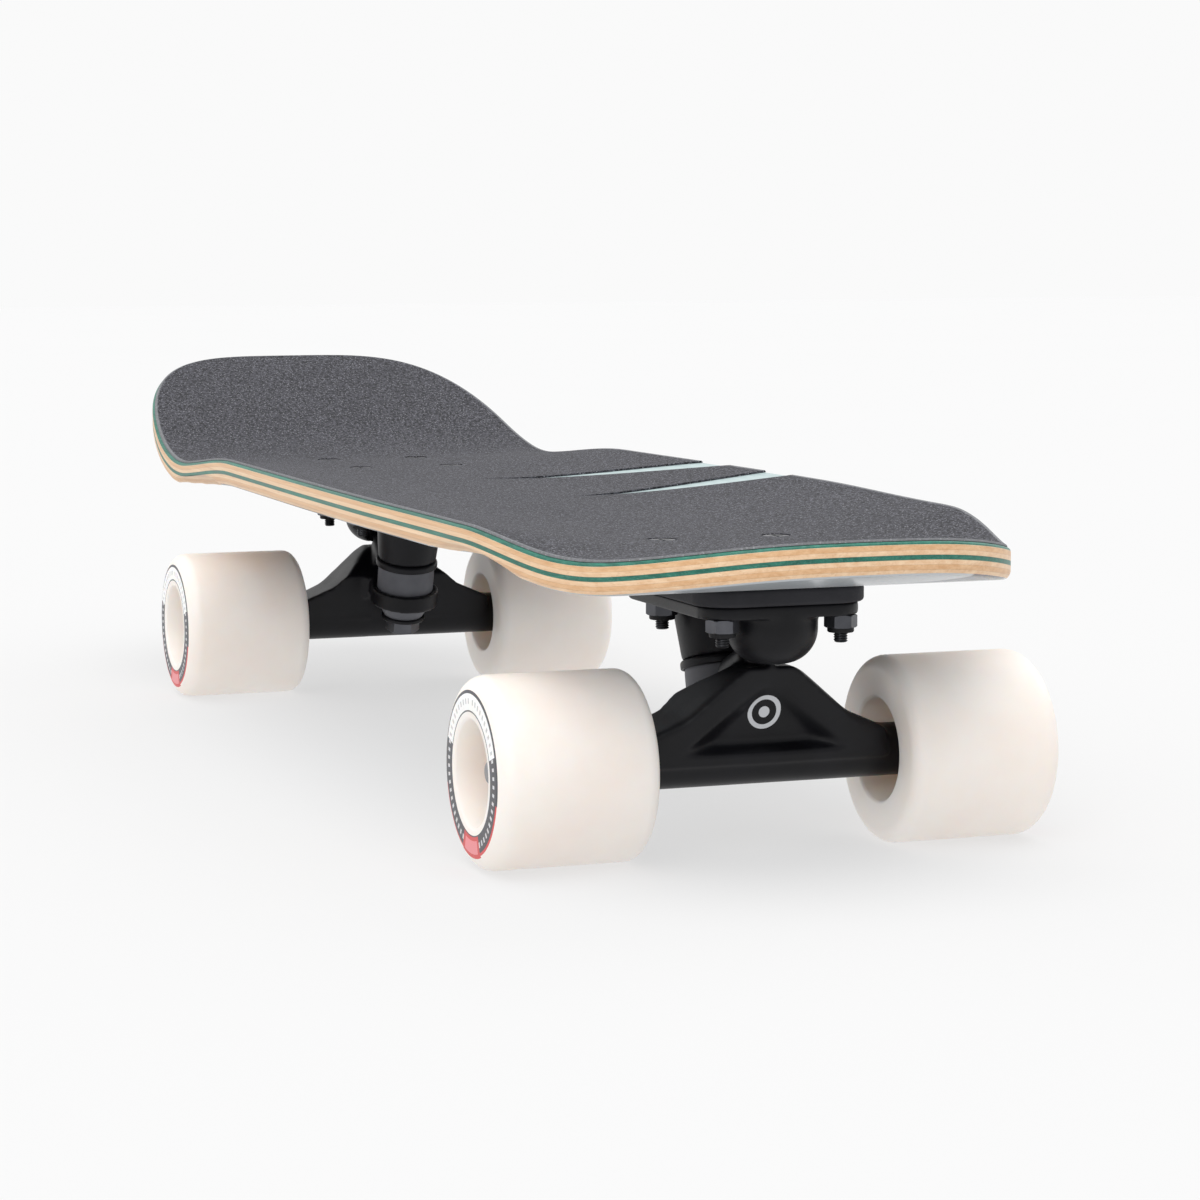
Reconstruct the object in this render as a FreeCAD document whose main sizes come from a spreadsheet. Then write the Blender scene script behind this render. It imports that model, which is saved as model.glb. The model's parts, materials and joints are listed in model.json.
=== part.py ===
import FreeCAD, Part
import math
import os
import re
import Sketcher
from FreeCAD import Placement, Rotation, Vector

# Skateboard: seven-ply deck, grip sheet, two riser pads, two kingpin trucks and four bearing wheels.
# Frame: +X towards the nose, +Y to the rider's left, +Z up, origin on the ground under the middle
# of the deck's length. Millimetres and degrees.

doc = FreeCAD.newDocument("skateboard")
sheet = doc.addObject("Spreadsheet::Sheet", "sizes")

DRIVING_SIZES = [
    # deck plan
    ("nose_overhang", 95.0, "front bolt pattern centre to the tip of the nose"),
    ("tail_overhang", 178.0, "rear bolt pattern centre to the tip of the tail"),
    ("truck_spacing", 422.0, "distance between the two bolt pattern centres"),
    ("deck_half_width", 94.0, "widest half width of the deck"),
    ("nose_waist", 3.5, "how much narrower each side is where the nose begins"),
    ("tail_waist", 6.0, "how much narrower each side is where the tail begins"),
    ("nose_taper", 136.0, "length over which the nose rounds off"),
    ("tail_taper", 138.0, "length over which the tail rounds off"),
    ("widest_station", 151.0, "widest place of the deck, measured back from the front pattern"),
    # deck section
    ("ply_thickness", 1.5, "one maple veneer"),
    ("glue_gap", 0.03, "glue line drawn between one layer and the next"),
    ("grip_thickness", 0.8, "grip sheet"),
    ("concave_depth", 8.5, "rise of the deck's side edge above its flat middle"),
    ("concave_flat", 20.0, "half width of the flat middle"),
    ("nose_bend_start", 16.0, "front pattern centre to the start of the nose bend"),
    ("nose_bend_radius", 320.0, "radius of the nose bend"),
    ("nose_angle", 13.5, "final slope of the nose"),
    ("tail_bend_start", 24.0, "rear pattern centre to the start of the tail bend"),
    ("tail_bend_radius", 200.0, "radius of the tail bend"),
    ("tail_angle", 19.5, "final slope of the tail"),
    ("concave_fade", 85.0, "length over which the concave runs out at the nose"),
    ("concave_fade_tail", 120.0, "length over which the concave runs out at the tail"),
    ("front_well_length", 75.0, "front wheel wells along the deck's side edge"),
    ("rear_well_length", 90.0, "rear wheel wells along the deck's side edge"),
    ("front_well_shift", 28.8, "front wheel wells, from the axle towards the middle of the deck"),
    ("rear_well_shift", 0.7, "rear wheel wells, from the axle towards the middle of the deck"),
    ("well_depth", 4.5, "depth of a wheel well at the deck's side edge"),
    ("well_width", 34.0, "how far a wheel well reaches in from the side edge"),
    ("slash_width", 30.0, "width of the grip's cut-outs at the deck's side edge"),
    # truck mounting
    ("bolt_pitch_long", 53.8, "bolt pattern, along the board"),
    ("bolt_pitch_wide", 41.3, "bolt pattern, across the board"),
    ("bolt_diameter", 4.8, "truck bolt thread"),
    ("bolt_head_diameter", 9.6, "flat head"),
    ("bolt_head_height", 2.0, "flat head"),
    ("bolt_hole_gap", 0.3, "radial clearance of the bolt holes"),
    ("bolt_sink", 0.2, "bolt head below the grip's surface"),
    ("bolt_length", 30.0, "truck bolt, head included"),
    ("bolt_slot_length", 5.2, "cross slot of the bolt head"),
    ("bolt_slot_width", 1.1, "cross slot of the bolt head"),
    ("bolt_slot_depth", 1.6, "cross slot of the bolt head"),
    ("lock_nut_flats", 9.5, "lock nut across flats"),
    ("lock_nut_height", 4.2, "hexagon of the lock nut"),
    ("lock_nut_collar", 1.6, "nylon collar of the lock nut"),
    ("lock_nut_collar_radius", 4.37, "nylon collar of the lock nut"),
    ("thread_gap", 0.02, "radial clearance drawn between a nut and its thread"),
    ("seat_gap", 0.02, "clearance drawn between stacked faces"),
    # riser and baseplate
    ("riser_thickness", 5.5, "riser pad"),
    ("riser_border", 1.8, "riser pad beyond the baseplate, all round"),
    ("plate_outboard", 33.5, "pattern centre to the baseplate's outboard end"),
    ("plate_inboard", 49.0, "pattern centre to the baseplate's inboard end"),
    ("plate_half_width", 27.8, "half width of the baseplate"),
    ("plate_thickness", 4.3, "baseplate flange"),
    ("plate_corner", 11.0, "corner radius of the baseplate"),
    ("truck_height", 53.2, "axle centre to the baseplate's upper face"),
    ("pivot_boss_x", 18.6, "pattern centre to the pivot boss"),
    ("pivot_boss_radius", 15.0, "pivot boss"),
    ("pivot_boss_below", 9.93, "foot of the pivot boss below the middle of the pivot's ball end"),
    ("pivot_boss_round", 11.5, "rounding of the pivot boss"),
    ("king_boss_low_radius", 12.8, "kingpin boss at its washer"),
    ("king_boss_top_radius", 15.0, "kingpin boss at the flange"),
    ("web_half_width", 5.0, "half width of the web between the two bosses"),
    ("web_shallow", 6.0, "web below the flange at the pivot boss"),
    ("web_deep", 12.0, "web below the flange at the kingpin boss"),
    # steering geometry
    ("axle_outboard", 4.3, "pattern centre to the axle"),
    ("ring_inboard", 26.3, "axle to the centre of the hanger's ring"),
    ("ring_above", 13.0, "centre of the hanger's ring above the axle"),
    ("kingpin_lean", 15.0, "kingpin from the vertical, foot outboard"),
    ("steer_slope", 35.0, "steering axis from the horizontal, outboard end up"),
    ("pivot_reach", 52.0, "ring centre to the middle of the pivot's ball end"),
    ("pivot_radius", 4.8, "pivot of the hanger"),
    ("pivot_gap", 0.05, "radial running clearance of the pivot"),
    ("cup_wall", 2.0, "wall of the pivot cup"),
    ("cup_length", 9.0, "pivot cup from its mouth to the middle of the ball end"),
    ("neck_start", 20.0, "ring centre to the root of the pivot's neck"),
    ("neck_length", 16.0, "tapered neck of the pivot"),
    ("neck_root_radius", 9.5, "neck at its root"),
    ("neck_tip_radius", 6.5, "neck at its tip"),
    # kingpin stack, heights measured along the kingpin
    ("kingpin_diameter", 9.5, "kingpin shank"),
    ("kingpin_head_flats", 13.6, "kingpin head across flats"),
    ("kingpin_head_height", 5.5, "kingpin head"),
    ("head_pocket_gap", 0.6, "clearance round the kingpin head"),
    ("kingpin_tail", 1.2, "thread showing below the kingpin nut"),
    ("ring_radius", 17.4, "outside of the hanger's ring"),
    ("ring_height", 8.5, "hanger's ring along the kingpin"),
    ("ring_bore_radius", 7.2, "hole through the hanger's ring"),
    ("seat_depth", 2.0, "bushing seats sunk into the ring"),
    ("board_bushing_radius", 12.4, "barrel bushing"),
    ("board_bushing_height", 13.0, "barrel bushing"),
    ("road_bushing_radius", 11.4, "wide end of the conical bushing"),
    ("road_bushing_tip", 8.6, "narrow end of the conical bushing"),
    ("road_bushing_height", 7.6, "conical bushing"),
    ("bushing_gap", 0.3, "clearance round each bushing"),
    ("board_washer_radius", 13.6, "cup washer above the barrel bushing"),
    ("road_washer_radius", 9.6, "cup washer below the conical bushing"),
    ("washer_thickness", 1.5, "washer plate"),
    ("washer_lip", 1.6, "rim of the cup washers"),
    ("king_nut_flats", 13.0, "kingpin nut across flats"),
    ("king_nut_height", 5.6, "kingpin nut"),
    # hanger and axle
    ("hanger_half_length", 58.1, "centre line to the hanger's end face"),
    ("arm_radius", 8.8, "hanger arm"),
    ("hanger_face_x", 15.0, "axle to the top of the hanger's outboard face"),
    ("arm_flare", 1.0, "how much thicker the arm is where it leaves the web"),
    ("hanger_top", 31.6, "top of the hanger above the axle"),
    ("hanger_top_half", 7.5, "half width of the hanger's flat top"),
    ("hanger_top_thickness", 13.0, "top of the web along the board"),
    ("brow_half", 11.5, "half width where the hanger's top turns into its slope"),
    ("brow_drop", 1.7, "that turn below the top"),
    ("shoulder_half", 28.5, "half width where the hanger's slope turns towards the arm"),
    ("shoulder_height", 15.5, "height of that turn above the axle"),
    ("foot_half", 44.0, "half width where the slope runs out on the arm"),
    ("recess_depth", 4.0, "triangular recess in the outboard face"),
    ("recess_border_top", 6.0, "recess below the hanger's top"),
    ("recess_half", 22.5, "half width of the recess at its foot"),
    ("recess_foot", 3.5, "foot of the recess above the axle"),
    ("recess_corner", 3.5, "corner radius of the recess"),
    ("axle_diameter", 7.92, "axle"),
    ("axle_half_length", 92.6, "centre line to the axle's end"),
    ("axle_bevel", 0.8, "bevel on the axle's ends"),
    # wheels and bearings
    ("wheel_radius", 31.5, "wheel"),
    ("wheel_width", 54.2, "wheel"),
    ("wheel_outer_lip", 6.3, "lip radius on the outer side"),
    ("wheel_inner_lip", 4.7, "lip radius on the inner side"),
    ("wheel_recess_radius", 17.5, "recess at the wheel's face"),
    ("wheel_recess_floor", 14.5, "recess at the bearing seat"),
    ("wheel_recess_rim", 1.2, "rounding of the recess's mouth"),
    ("wheel_shoulder_radius", 9.4, "shoulder between the bearings"),
    ("bearing_radius", 11.0, "bearing outside"),
    ("bearing_slip", 0.04, "radial clearance of the bearing on the axle"),
    ("bearing_width", 7.0, "bearing"),
    ("bearing_fit", 0.01, "radial clearance of the bearing in its seat"),
    ("race_wall", 2.0, "wall of the inner and the outer race at their lands"),
    ("track_depth", 0.485, "how deep each ball sits in a race"),
    ("ball_gap", 0.06, "clearance round each ball"),
    ("shield_gap", 0.3, "clearance of the shields round the inner race"),
    ("shield_thickness", 0.3, "shield"),
    ("shield_inset", 0.3, "shield behind the bearing's face"),
    ("spacer_length", 10.0, "spacer between the bearings"),
    ("spacer_wall", 1.0, "spacer"),
    ("speed_ring_wall", 1.8, "speed ring, from the bearing's bore outwards"),
    ("speed_ring_thickness", 1.0, "speed ring"),
    ("axle_nut_flats", 12.7, "axle nut across flats"),
    ("axle_nut_height", 4.8, "hexagon of the axle nut"),
    ("axle_nut_collar", 1.6, "nylon collar of the axle nut"),
    ("axle_nut_collar_radius", 5.715, "nylon collar of the axle nut"),
]
BALLS_PER_BEARING = 7
PLIES = 7
MIDDLE_PLY = 3       # counted from the top, from 0
DECK_MARGIN = 12.0   # the moulded surface beyond the deck's plan
DECK_REACH = 80.0    # half height of the blocks that trim it
BEYOND = 200.0       # long enough for a cutter to pass right out of any truck piece

# cut-outs of the grip: mouth and tip behind the deck's widest station, tip across, bow of the cut
GRIP_SLASHES = [(82.0, 162.0, 8.0, 16.0), (32.0, 60.0, 14.0, 12.0)]
FAR_SIDE_BOW = 0.72  # bow of a cut-out's far side, as a share of its near side's

for row, (alias, value, note) in enumerate(DRIVING_SIZES, start=1):
    sheet.set("A%d" % row, alias)
    sheet.set("B%d" % row, str(value))
    sheet.set("C%d" % row, note)
    sheet.setAlias("B%d" % row, alias)
doc.recompute()


# ---------------------------------------------------------------- helpers for bodies and sketches

ALIASES = {alias for alias, value, note in DRIVING_SIZES}
subparts = []


def size(alias):
    """The value of one named cell of the sheet."""
    return float(getattr(sheet, alias))


def bound(expression):
    """The expression with each alias written as a reference to the sheet."""
    words = re.split(r"(\w+)", expression)
    return "".join("sizes." + word if word in ALIASES else word for word in words)


def worth(expression):
    """The present value of an expression."""
    return float(sheet.evalExpression(bound(expression)))


def new_body(label, placement):
    body = doc.addObject("PartDesign::Body", label)
    body.Label = label
    body.AllowCompound = True
    body.Placement = placement
    subparts.append(body)
    return body


def new_sketch(body, plane, name):
    """A sketch attached to one of the body's own origin planes."""
    sketch = body.newObject("Sketcher::SketchObject", name)
    origin_plane = [part for part in body.Origin.OriginFeatures if part.Role == plane][0]
    sketch.AttachmentSupport = [(origin_plane, "")]
    sketch.MapMode = "FlatFace"
    return sketch


def tie(sketch, kind, geometry, expression):
    """One dimension of a sketch, bound to an expression."""
    index = sketch.addConstraint(Sketcher.Constraint(kind, *geometry, worth(expression)))
    sketch.setExpression("Constraints[%d]" % index, bound(expression))


def add_outline(sketch, corners):
    """A closed outline of straight lines whose corners are pairs of expressions."""
    first = sketch.GeometryCount
    count = len(corners)
    places = [Vector(worth(across), worth(up), 0) for across, up in corners]
    for index in range(count):
        sketch.addGeometry(Part.LineSegment(places[index], places[(index + 1) % count]), False)
    for index in range(count):
        following = first + (index + 1) % count
        sketch.addConstraint(Sketcher.Constraint("Coincident", first + index, 2, following, 1))
    for index, (across, up) in enumerate(corners):
        tie(sketch, "DistanceX", (-1, 1, first + index, 1), across)
        tie(sketch, "DistanceY", (-1, 1, first + index, 1), up)


def add_circle(sketch, across, up, radius):
    """A circle whose centre and radius are expressions."""
    centre = Vector(worth(across), worth(up), 0)
    circle = sketch.addGeometry(Part.Circle(centre, Vector(0, 0, 1), worth(radius)), False)
    tie(sketch, "DistanceX", (-1, 1, circle, 3), across)
    tie(sketch, "DistanceY", (-1, 1, circle, 3), up)
    tie(sketch, "Radius", (circle,), radius)


def add_hexagon(sketch, flats):
    """A hexagon about the origin, given across its flats."""
    corner = "(%s) / 2 / cos(30)" % flats
    add_outline(sketch, [("%s * cos(%d)" % (corner, turn), "%s * sin(%d)" % (corner, turn))
                         for turn in range(0, 360, 60)])


def turn_solid(body, outlines, name="turned"):
    """Revolves outlines of (radius, height) about the body's Z axis."""
    sketch = new_sketch(body, "XZ_Plane", name + "_outline")
    for corners in outlines:
        add_outline(sketch, corners)
    feature = body.newObject("PartDesign::Revolution", name)
    feature.Profile = sketch
    feature.ReferenceAxis = (sketch, ["V_Axis"])
    feature.Angle = 360
    return feature


def pad(body, sketch, length, name, reverse=False):
    feature = body.newObject("PartDesign::Pad", name)
    feature.Profile = sketch
    feature.setExpression("Length", bound(length))
    feature.Reversed = reverse
    return feature


def offset_sketch(body, name, height):
    """A sketch parallel to the body's XY plane at a bound height."""
    sketch = new_sketch(body, "XY_Plane", name)
    sketch.setExpression("AttachmentOffset.Base.z", bound(height))
    return sketch


def written(height):
    """A worked-out height as an expression."""
    return "%.6f" % height


def upright_line(edge):
    return isinstance(edge.Curve, (Part.Line, Part.LineSegment)) and abs(edge.tangentAt(0).z) > 0.99


def round_edges(body, base, radius, chosen, name):
    """Fillets the edges of the base feature that the test picks out."""
    doc.recompute()
    names = ["Edge%d" % (index + 1) for index, edge in enumerate(base.Shape.Edges) if chosen(edge)]
    fillet = body.newObject("PartDesign::Fillet", name)
    fillet.Base = (base, names)
    fillet.setExpression("Radius", bound(radius))
    return fillet


def circle_at(edge, radius, height):
    """Whether an edge is a circle of this radius at this height."""
    curve = edge.Curve
    return (isinstance(curve, Part.Circle) and math.isclose(curve.Radius, radius, abs_tol=1e-4)
            and math.isclose(curve.Center.z, height, abs_tol=1e-4))


def add_feature(label, shape, placement=None):
    """A sub-part whose shape is set in code."""
    feature = doc.addObject("Part::Feature", label)
    feature.Label = label
    feature.Shape = shape
    if placement is not None:
        feature.Placement = placement
    subparts.append(feature)
    return feature


# ---------------------------------------------------------------- places shared by the sub-parts

DECK_LENGTH = size("nose_overhang") + size("truck_spacing") + size("tail_overhang")
FRONT_X = DECK_LENGTH / 2 - size("nose_overhang")
REAR_X = FRONT_X - size("truck_spacing")
AXLE_Z = size("wheel_radius")
PLATE_TOP = AXLE_Z + size("truck_height")
PLATE_BOTTOM = PLATE_TOP - size("plate_thickness")
DECK_BOTTOM = PLATE_TOP + size("riser_thickness")
DECK_TOP = DECK_BOTTOM + PLIES * size("ply_thickness")
GRIP_TOP = DECK_TOP + size("grip_thickness")
RING_X = size("axle_outboard") - size("ring_inboard")
RING_Z = AXLE_Z + size("ring_above")
LEAN = math.radians(size("kingpin_lean"))
SLOPE = math.radians(size("steer_slope"))
WHEEL_Y = (size("hanger_half_length") + size("speed_ring_thickness") + size("bearing_width")
           + size("spacer_length") / 2)

# heights along the kingpin, from the centre of the ring
SEAT_TOP = size("ring_height") / 2 - size("seat_depth") + size("seat_gap")
BOARD_WASHER_LOW = SEAT_TOP + size("board_bushing_height") + size("seat_gap")
BOSS_LOW = BOARD_WASHER_LOW + size("washer_thickness") + size("seat_gap")
ROAD_WASHER_TOP = -SEAT_TOP - size("road_bushing_height") - size("seat_gap")
KING_NUT_TOP = ROAD_WASHER_TOP - size("washer_thickness") - size("seat_gap")
PLATE_TOP_ON_PIN = (PLATE_TOP - RING_Z) / math.cos(LEAN)
HEAD_CORNER = size("kingpin_head_flats") / 2 / math.cos(math.radians(30))
HEAD_TOP = PLATE_TOP_ON_PIN - HEAD_CORNER * math.tan(LEAN) - size("seat_gap")
HEAD_LOW = HEAD_TOP - size("kingpin_head_height")


def truck_place(end):
    """The truck's own frame: X outboard from the bolt pattern's centre, Z up from the ground."""
    if end == "front":
        return Placement(Vector(FRONT_X, 0, 0), Rotation())
    return Placement(Vector(REAR_X, 0, 0), Rotation(Vector(0, 0, 1), 180))


KINGPIN_PLACE = Placement(Vector(RING_X, 0, RING_Z),
                          Rotation(Vector(0, 1, 0), -size("kingpin_lean")))
STEER_PLACE = Placement(Vector(RING_X, 0, RING_Z),
                        Rotation(Vector(0, 1, 0), 90 - size("steer_slope")))
PLATE_PLACE = Placement(Vector(0, 0, PLATE_TOP), Rotation())


def bolt_places():
    """The four bolt positions about the pattern's centre."""
    for along in (-1, 1):
        for wide in (-1, 1):
            yield along * size("bolt_pitch_long") / 2, wide * size("bolt_pitch_wide") / 2


# ---------------------------------------------------------------- deck and grip

def smooth(share):
    """0 below 0, 1 above 1, and a smooth step between."""
    share = min(1.0, max(0.0, share))
    return share * share * (3 - 2 * share)


def kick_height(distance, radius, angle):
    """Height of a kick: an arc of the radius up to the angle, then a straight slope."""
    if distance <= 0:
        return 0.0
    slope = math.radians(angle)
    arc_run = radius * math.sin(slope)
    if distance < arc_run:
        return radius - math.sqrt(radius ** 2 - distance ** 2)
    return radius * (1 - math.cos(slope)) + (distance - arc_run) * math.tan(slope)


def surface_height(x, y):
    """Height of the deck's moulded surface above its flat middle."""
    nose_start = FRONT_X + size("nose_bend_start")
    tail_start = REAR_X - size("tail_bend_start")
    nose_fade = (nose_start + size("concave_fade") * 0.45 - x) / size("concave_fade")
    tail_fade = (x - tail_start + size("concave_fade_tail") * 0.25) / size("concave_fade_tail")
    rise = max(0.0, (abs(y) - size("concave_flat")) / (size("deck_half_width") - size("concave_flat")))
    concave = size("concave_depth") * rise ** 1.6 * smooth(nose_fade) * smooth(tail_fade)
    return (concave + kick_height(x - nose_start, size("nose_bend_radius"), size("nose_angle"))
            + kick_height(tail_start - x, size("tail_bend_radius"), size("tail_angle")))


def half_width(x):
    """Half width of the deck: a gentle waist with a rounded curve at each end."""
    widest = FRONT_X - size("widest_station")
    nose_tip = DECK_LENGTH / 2
    if x > widest:
        waist = size("nose_waist") * smooth((x - widest) / (nose_tip - size("nose_taper") - widest))
    else:
        waist = size("tail_waist") * smooth((widest - x) / (widest + nose_tip - size("tail_taper")))
    side = size("deck_half_width") - waist
    nose_share = max(0.0, (x - nose_tip + size("nose_taper")) / size("nose_taper"))
    tail_share = max(0.0, (-x - nose_tip + size("tail_taper")) / size("tail_taper"))
    nose = max(0.0, 1 - nose_share ** 1.6) ** (1 / 2.9)
    tail = max(0.0, 1 - tail_share ** 2.5) ** (1 / 3.8)
    return side * nose * tail


def moulded_face(columns=44, rows=16):
    """The deck's moulded surface over a rectangle larger than the deck, its flat middle at height 0."""
    reach_x = DECK_LENGTH / 2 + DECK_MARGIN
    reach_y = size("deck_half_width") + DECK_MARGIN
    grid = []
    for column in range(columns + 1):
        x = reach_x * (2 * column / columns - 1)
        line = [reach_y * (2 * row / rows - 1) for row in range(rows + 1)]
        grid.append([Vector(x, y, surface_height(x, y)) for y in line])
    surface = Part.BSplineSurface()
    surface.interpolate(grid)
    return surface.toShape()


def deck_outline(stations=14, pieces=16):
    """The deck's plan as one closed spline, with its points closer together round the ends."""
    tip = DECK_LENGTH / 2
    spread = [1 - math.sin(math.pi / 2 * step / stations) for step in range(stations + 1)]
    nose = [tip - size("nose_taper") * share for share in spread]
    tail = [-tip + size("tail_taper") * share for share in reversed(spread)]
    middle = [tail[-1] + (nose[0] - tail[-1]) * step / 8 for step in range(1, 8)]
    upper = [Vector(x, half_width(x), 0) for x in tail + middle + nose]
    lower = [Vector(place.x, -place.y, 0) for place in upper[-2:0:-1]]
    curve = Part.BSplineCurve()
    curve.interpolate(upper + lower, PeriodicFlag=True)
    step = (curve.LastParameter - curve.FirstParameter) / pieces
    starts = [curve.FirstParameter + step * index for index in range(pieces)]
    return Part.Wire([curve.toShape(start, start + step) for start in starts])


def upright(face):
    """A flat face drawn at height 0 as a block that passes through the whole moulded surface."""
    face.translate(Vector(0, 0, -DECK_REACH))
    return face.extrude(Vector(0, 0, 2 * DECK_REACH))


def layer_face(moulded, hole_radius, cutters=()):
    """The moulded surface trimmed to the deck's plan, with the eight bolt holes and other cuts."""
    face = moulded.common(upright(Part.Face(deck_outline())))
    tools = list(cutters)
    for end in ("front", "rear"):
        for x, y in bolt_places():
            place = truck_place(end).multVec(Vector(x, y, 0))
            circle = Part.Wire(Part.makeCircle(hole_radius, Vector(place.x, place.y, 0)))
            tools.append(upright(Part.Face(circle)))
    for tool in tools:
        face = face.cut(tool)
    return face


def layer(face, low, thickness):
    """One layer of the deck: the trimmed face raised above its glue line and given its thickness."""
    lifted = face.copy()
    lifted.translate(Vector(0, 0, low + size("glue_gap")))
    return lifted.extrude(Vector(0, 0, thickness - size("glue_gap"))).Solids


def wheel_wells():
    """Shallow round cuts under the deck's sides: each cutter is a cylinder that lies across the deck,
    passes through the well's two ends on the lower side edge and just touches the underside inboard."""
    cutters = []
    depth = size("well_depth")
    for end, inwards in (("front", -1), ("rear", 1)):
        axle = truck_place(end).multVec(Vector(size("axle_outboard"), 0, 0)).x
        middle = axle + inwards * size(end + "_well_shift")
        ends = [middle - size(end + "_well_length") / 2, middle + size(end + "_well_length") / 2]
        low, high = [Vector(x, half_width(x), DECK_BOTTOM + surface_height(x, half_width(x)))
                     for x in ends]
        chord = math.hypot(high.x - low.x, high.z - low.z)
        radius = (chord ** 2 / 4 + depth ** 2) / (2 * depth)
        upwards = Vector(low.z - high.z, 0, high.x - low.x) / chord
        edge_centre = (low + high) / 2 - upwards * (radius - depth)
        inner_y = edge_centre.y - size("well_width")
        inner_centre = Vector(middle, inner_y, DECK_BOTTOM + surface_height(middle, inner_y)
                              ) - upwards * radius
        across = edge_centre - inner_centre
        for side in (1, -1):
            base = Vector(inner_centre.x, side * inner_centre.y, inner_centre.z)
            along = Vector(across.x, side * across.y, across.z)
            cutters.append(Part.makeCylinder(radius, 2 * across.Length, base, along))
    return cutters


def slash(x_mouth, x_tip, y_tip, bow):
    """A curved slash from the deck's left edge that narrows to a point, as an upright block."""
    edge = half_width(x_mouth) + DECK_MARGIN
    near = Vector(x_mouth - size("slash_width") / 2, edge, 0)
    far = Vector(x_mouth + size("slash_width") / 2, edge, 0)
    tip = Vector(x_tip, y_tip, 0)
    sides = []
    for start, sag in ((near, bow), (far, bow * FAR_SIDE_BOW)):
        middle = (start + tip) * 0.5
        chord = tip - start
        out = Vector(chord.y, -chord.x, 0)
        out.normalize()
        sides.append((start, middle + out * sag, tip))
    first = Part.Arc(*sides[0]).toShape()
    second = Part.Arc(sides[1][2], sides[1][1], sides[1][0]).toShape()
    return upright(Part.Face(Part.Wire([first, second, Part.makeLine(far, near)])))


def build_deck():
    """Seven veneers and the grip sheet, all cut from one moulded surface."""
    moulded = moulded_face()
    shank_face = layer_face(moulded, size("bolt_diameter") / 2 + size("bolt_hole_gap"))
    head_radius = size("bolt_head_diameter") / 2 + size("bolt_hole_gap")
    ply = size("ply_thickness")
    wells = wheel_wells()
    plies = []
    for index in range(PLIES):
        face = layer_face(moulded, head_radius) if index == 0 else shank_face
        veneer = layer(face, DECK_TOP - (index + 1) * ply, ply)[0]
        if index > MIDDLE_PLY:
            veneer = veneer.cut(wells)
        plies += veneer.Solids
    add_feature("top_teal_ply", plies[0])
    add_feature("upper_core_plies", Part.makeCompound(plies[1:MIDDLE_PLY]))
    add_feature("middle_green_ply", plies[MIDDLE_PLY])
    add_feature("lower_core_plies", Part.makeCompound(plies[MIDDLE_PLY + 1:]))
    widest = FRONT_X - size("widest_station")
    slashes = [slash(widest - mouth, widest - tip, across, bow)
               for mouth, tip, across, bow in GRIP_SLASHES]
    grip = layer(layer_face(moulded, head_radius, slashes), DECK_TOP, size("grip_thickness"))
    add_feature("grip_tape", grip[0])


# ---------------------------------------------------------------- riser, bolts and baseplate

def rounded_plate(body, name, border, low, thickness):
    """A flat plate round the bolt pattern with its corners rounded and four bolt holes."""
    sketch = offset_sketch(body, name + "_outline", low)
    add_outline(sketch, [("-plate_inboard - " + border, "-plate_half_width - " + border),
                         ("plate_outboard + " + border, "-plate_half_width - " + border),
                         ("plate_outboard + " + border, "plate_half_width + " + border),
                         ("-plate_inboard - " + border, "plate_half_width + " + border)])
    for along in ("-", ""):
        for wide in ("-", ""):
            add_circle(sketch, along + "bolt_pitch_long / 2", wide + "bolt_pitch_wide / 2",
                       "bolt_diameter / 2 + bolt_hole_gap")
    plate = pad(body, sketch, thickness, name)
    doc.recompute()
    side = worth("plate_half_width + " + border) - size("seat_gap")
    return round_edges(body, plate, "plate_corner + " + border,
                       lambda edge: upright_line(edge) and abs(edge.Vertexes[0].Point.y) > side,
                       name + "_corners")


def build_riser(end):
    body = new_body(end + "_riser_pad", truck_place(end) * PLATE_PLACE)
    rounded_plate(body, "pad", "riser_border", "seat_gap", "riser_thickness - 2 * seat_gap")


def pivot_point(along):
    """A point of the steering axis in the truck's frame."""
    return Vector(RING_X + along * math.cos(SLOPE), 0, RING_Z + along * math.sin(SLOPE))


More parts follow.
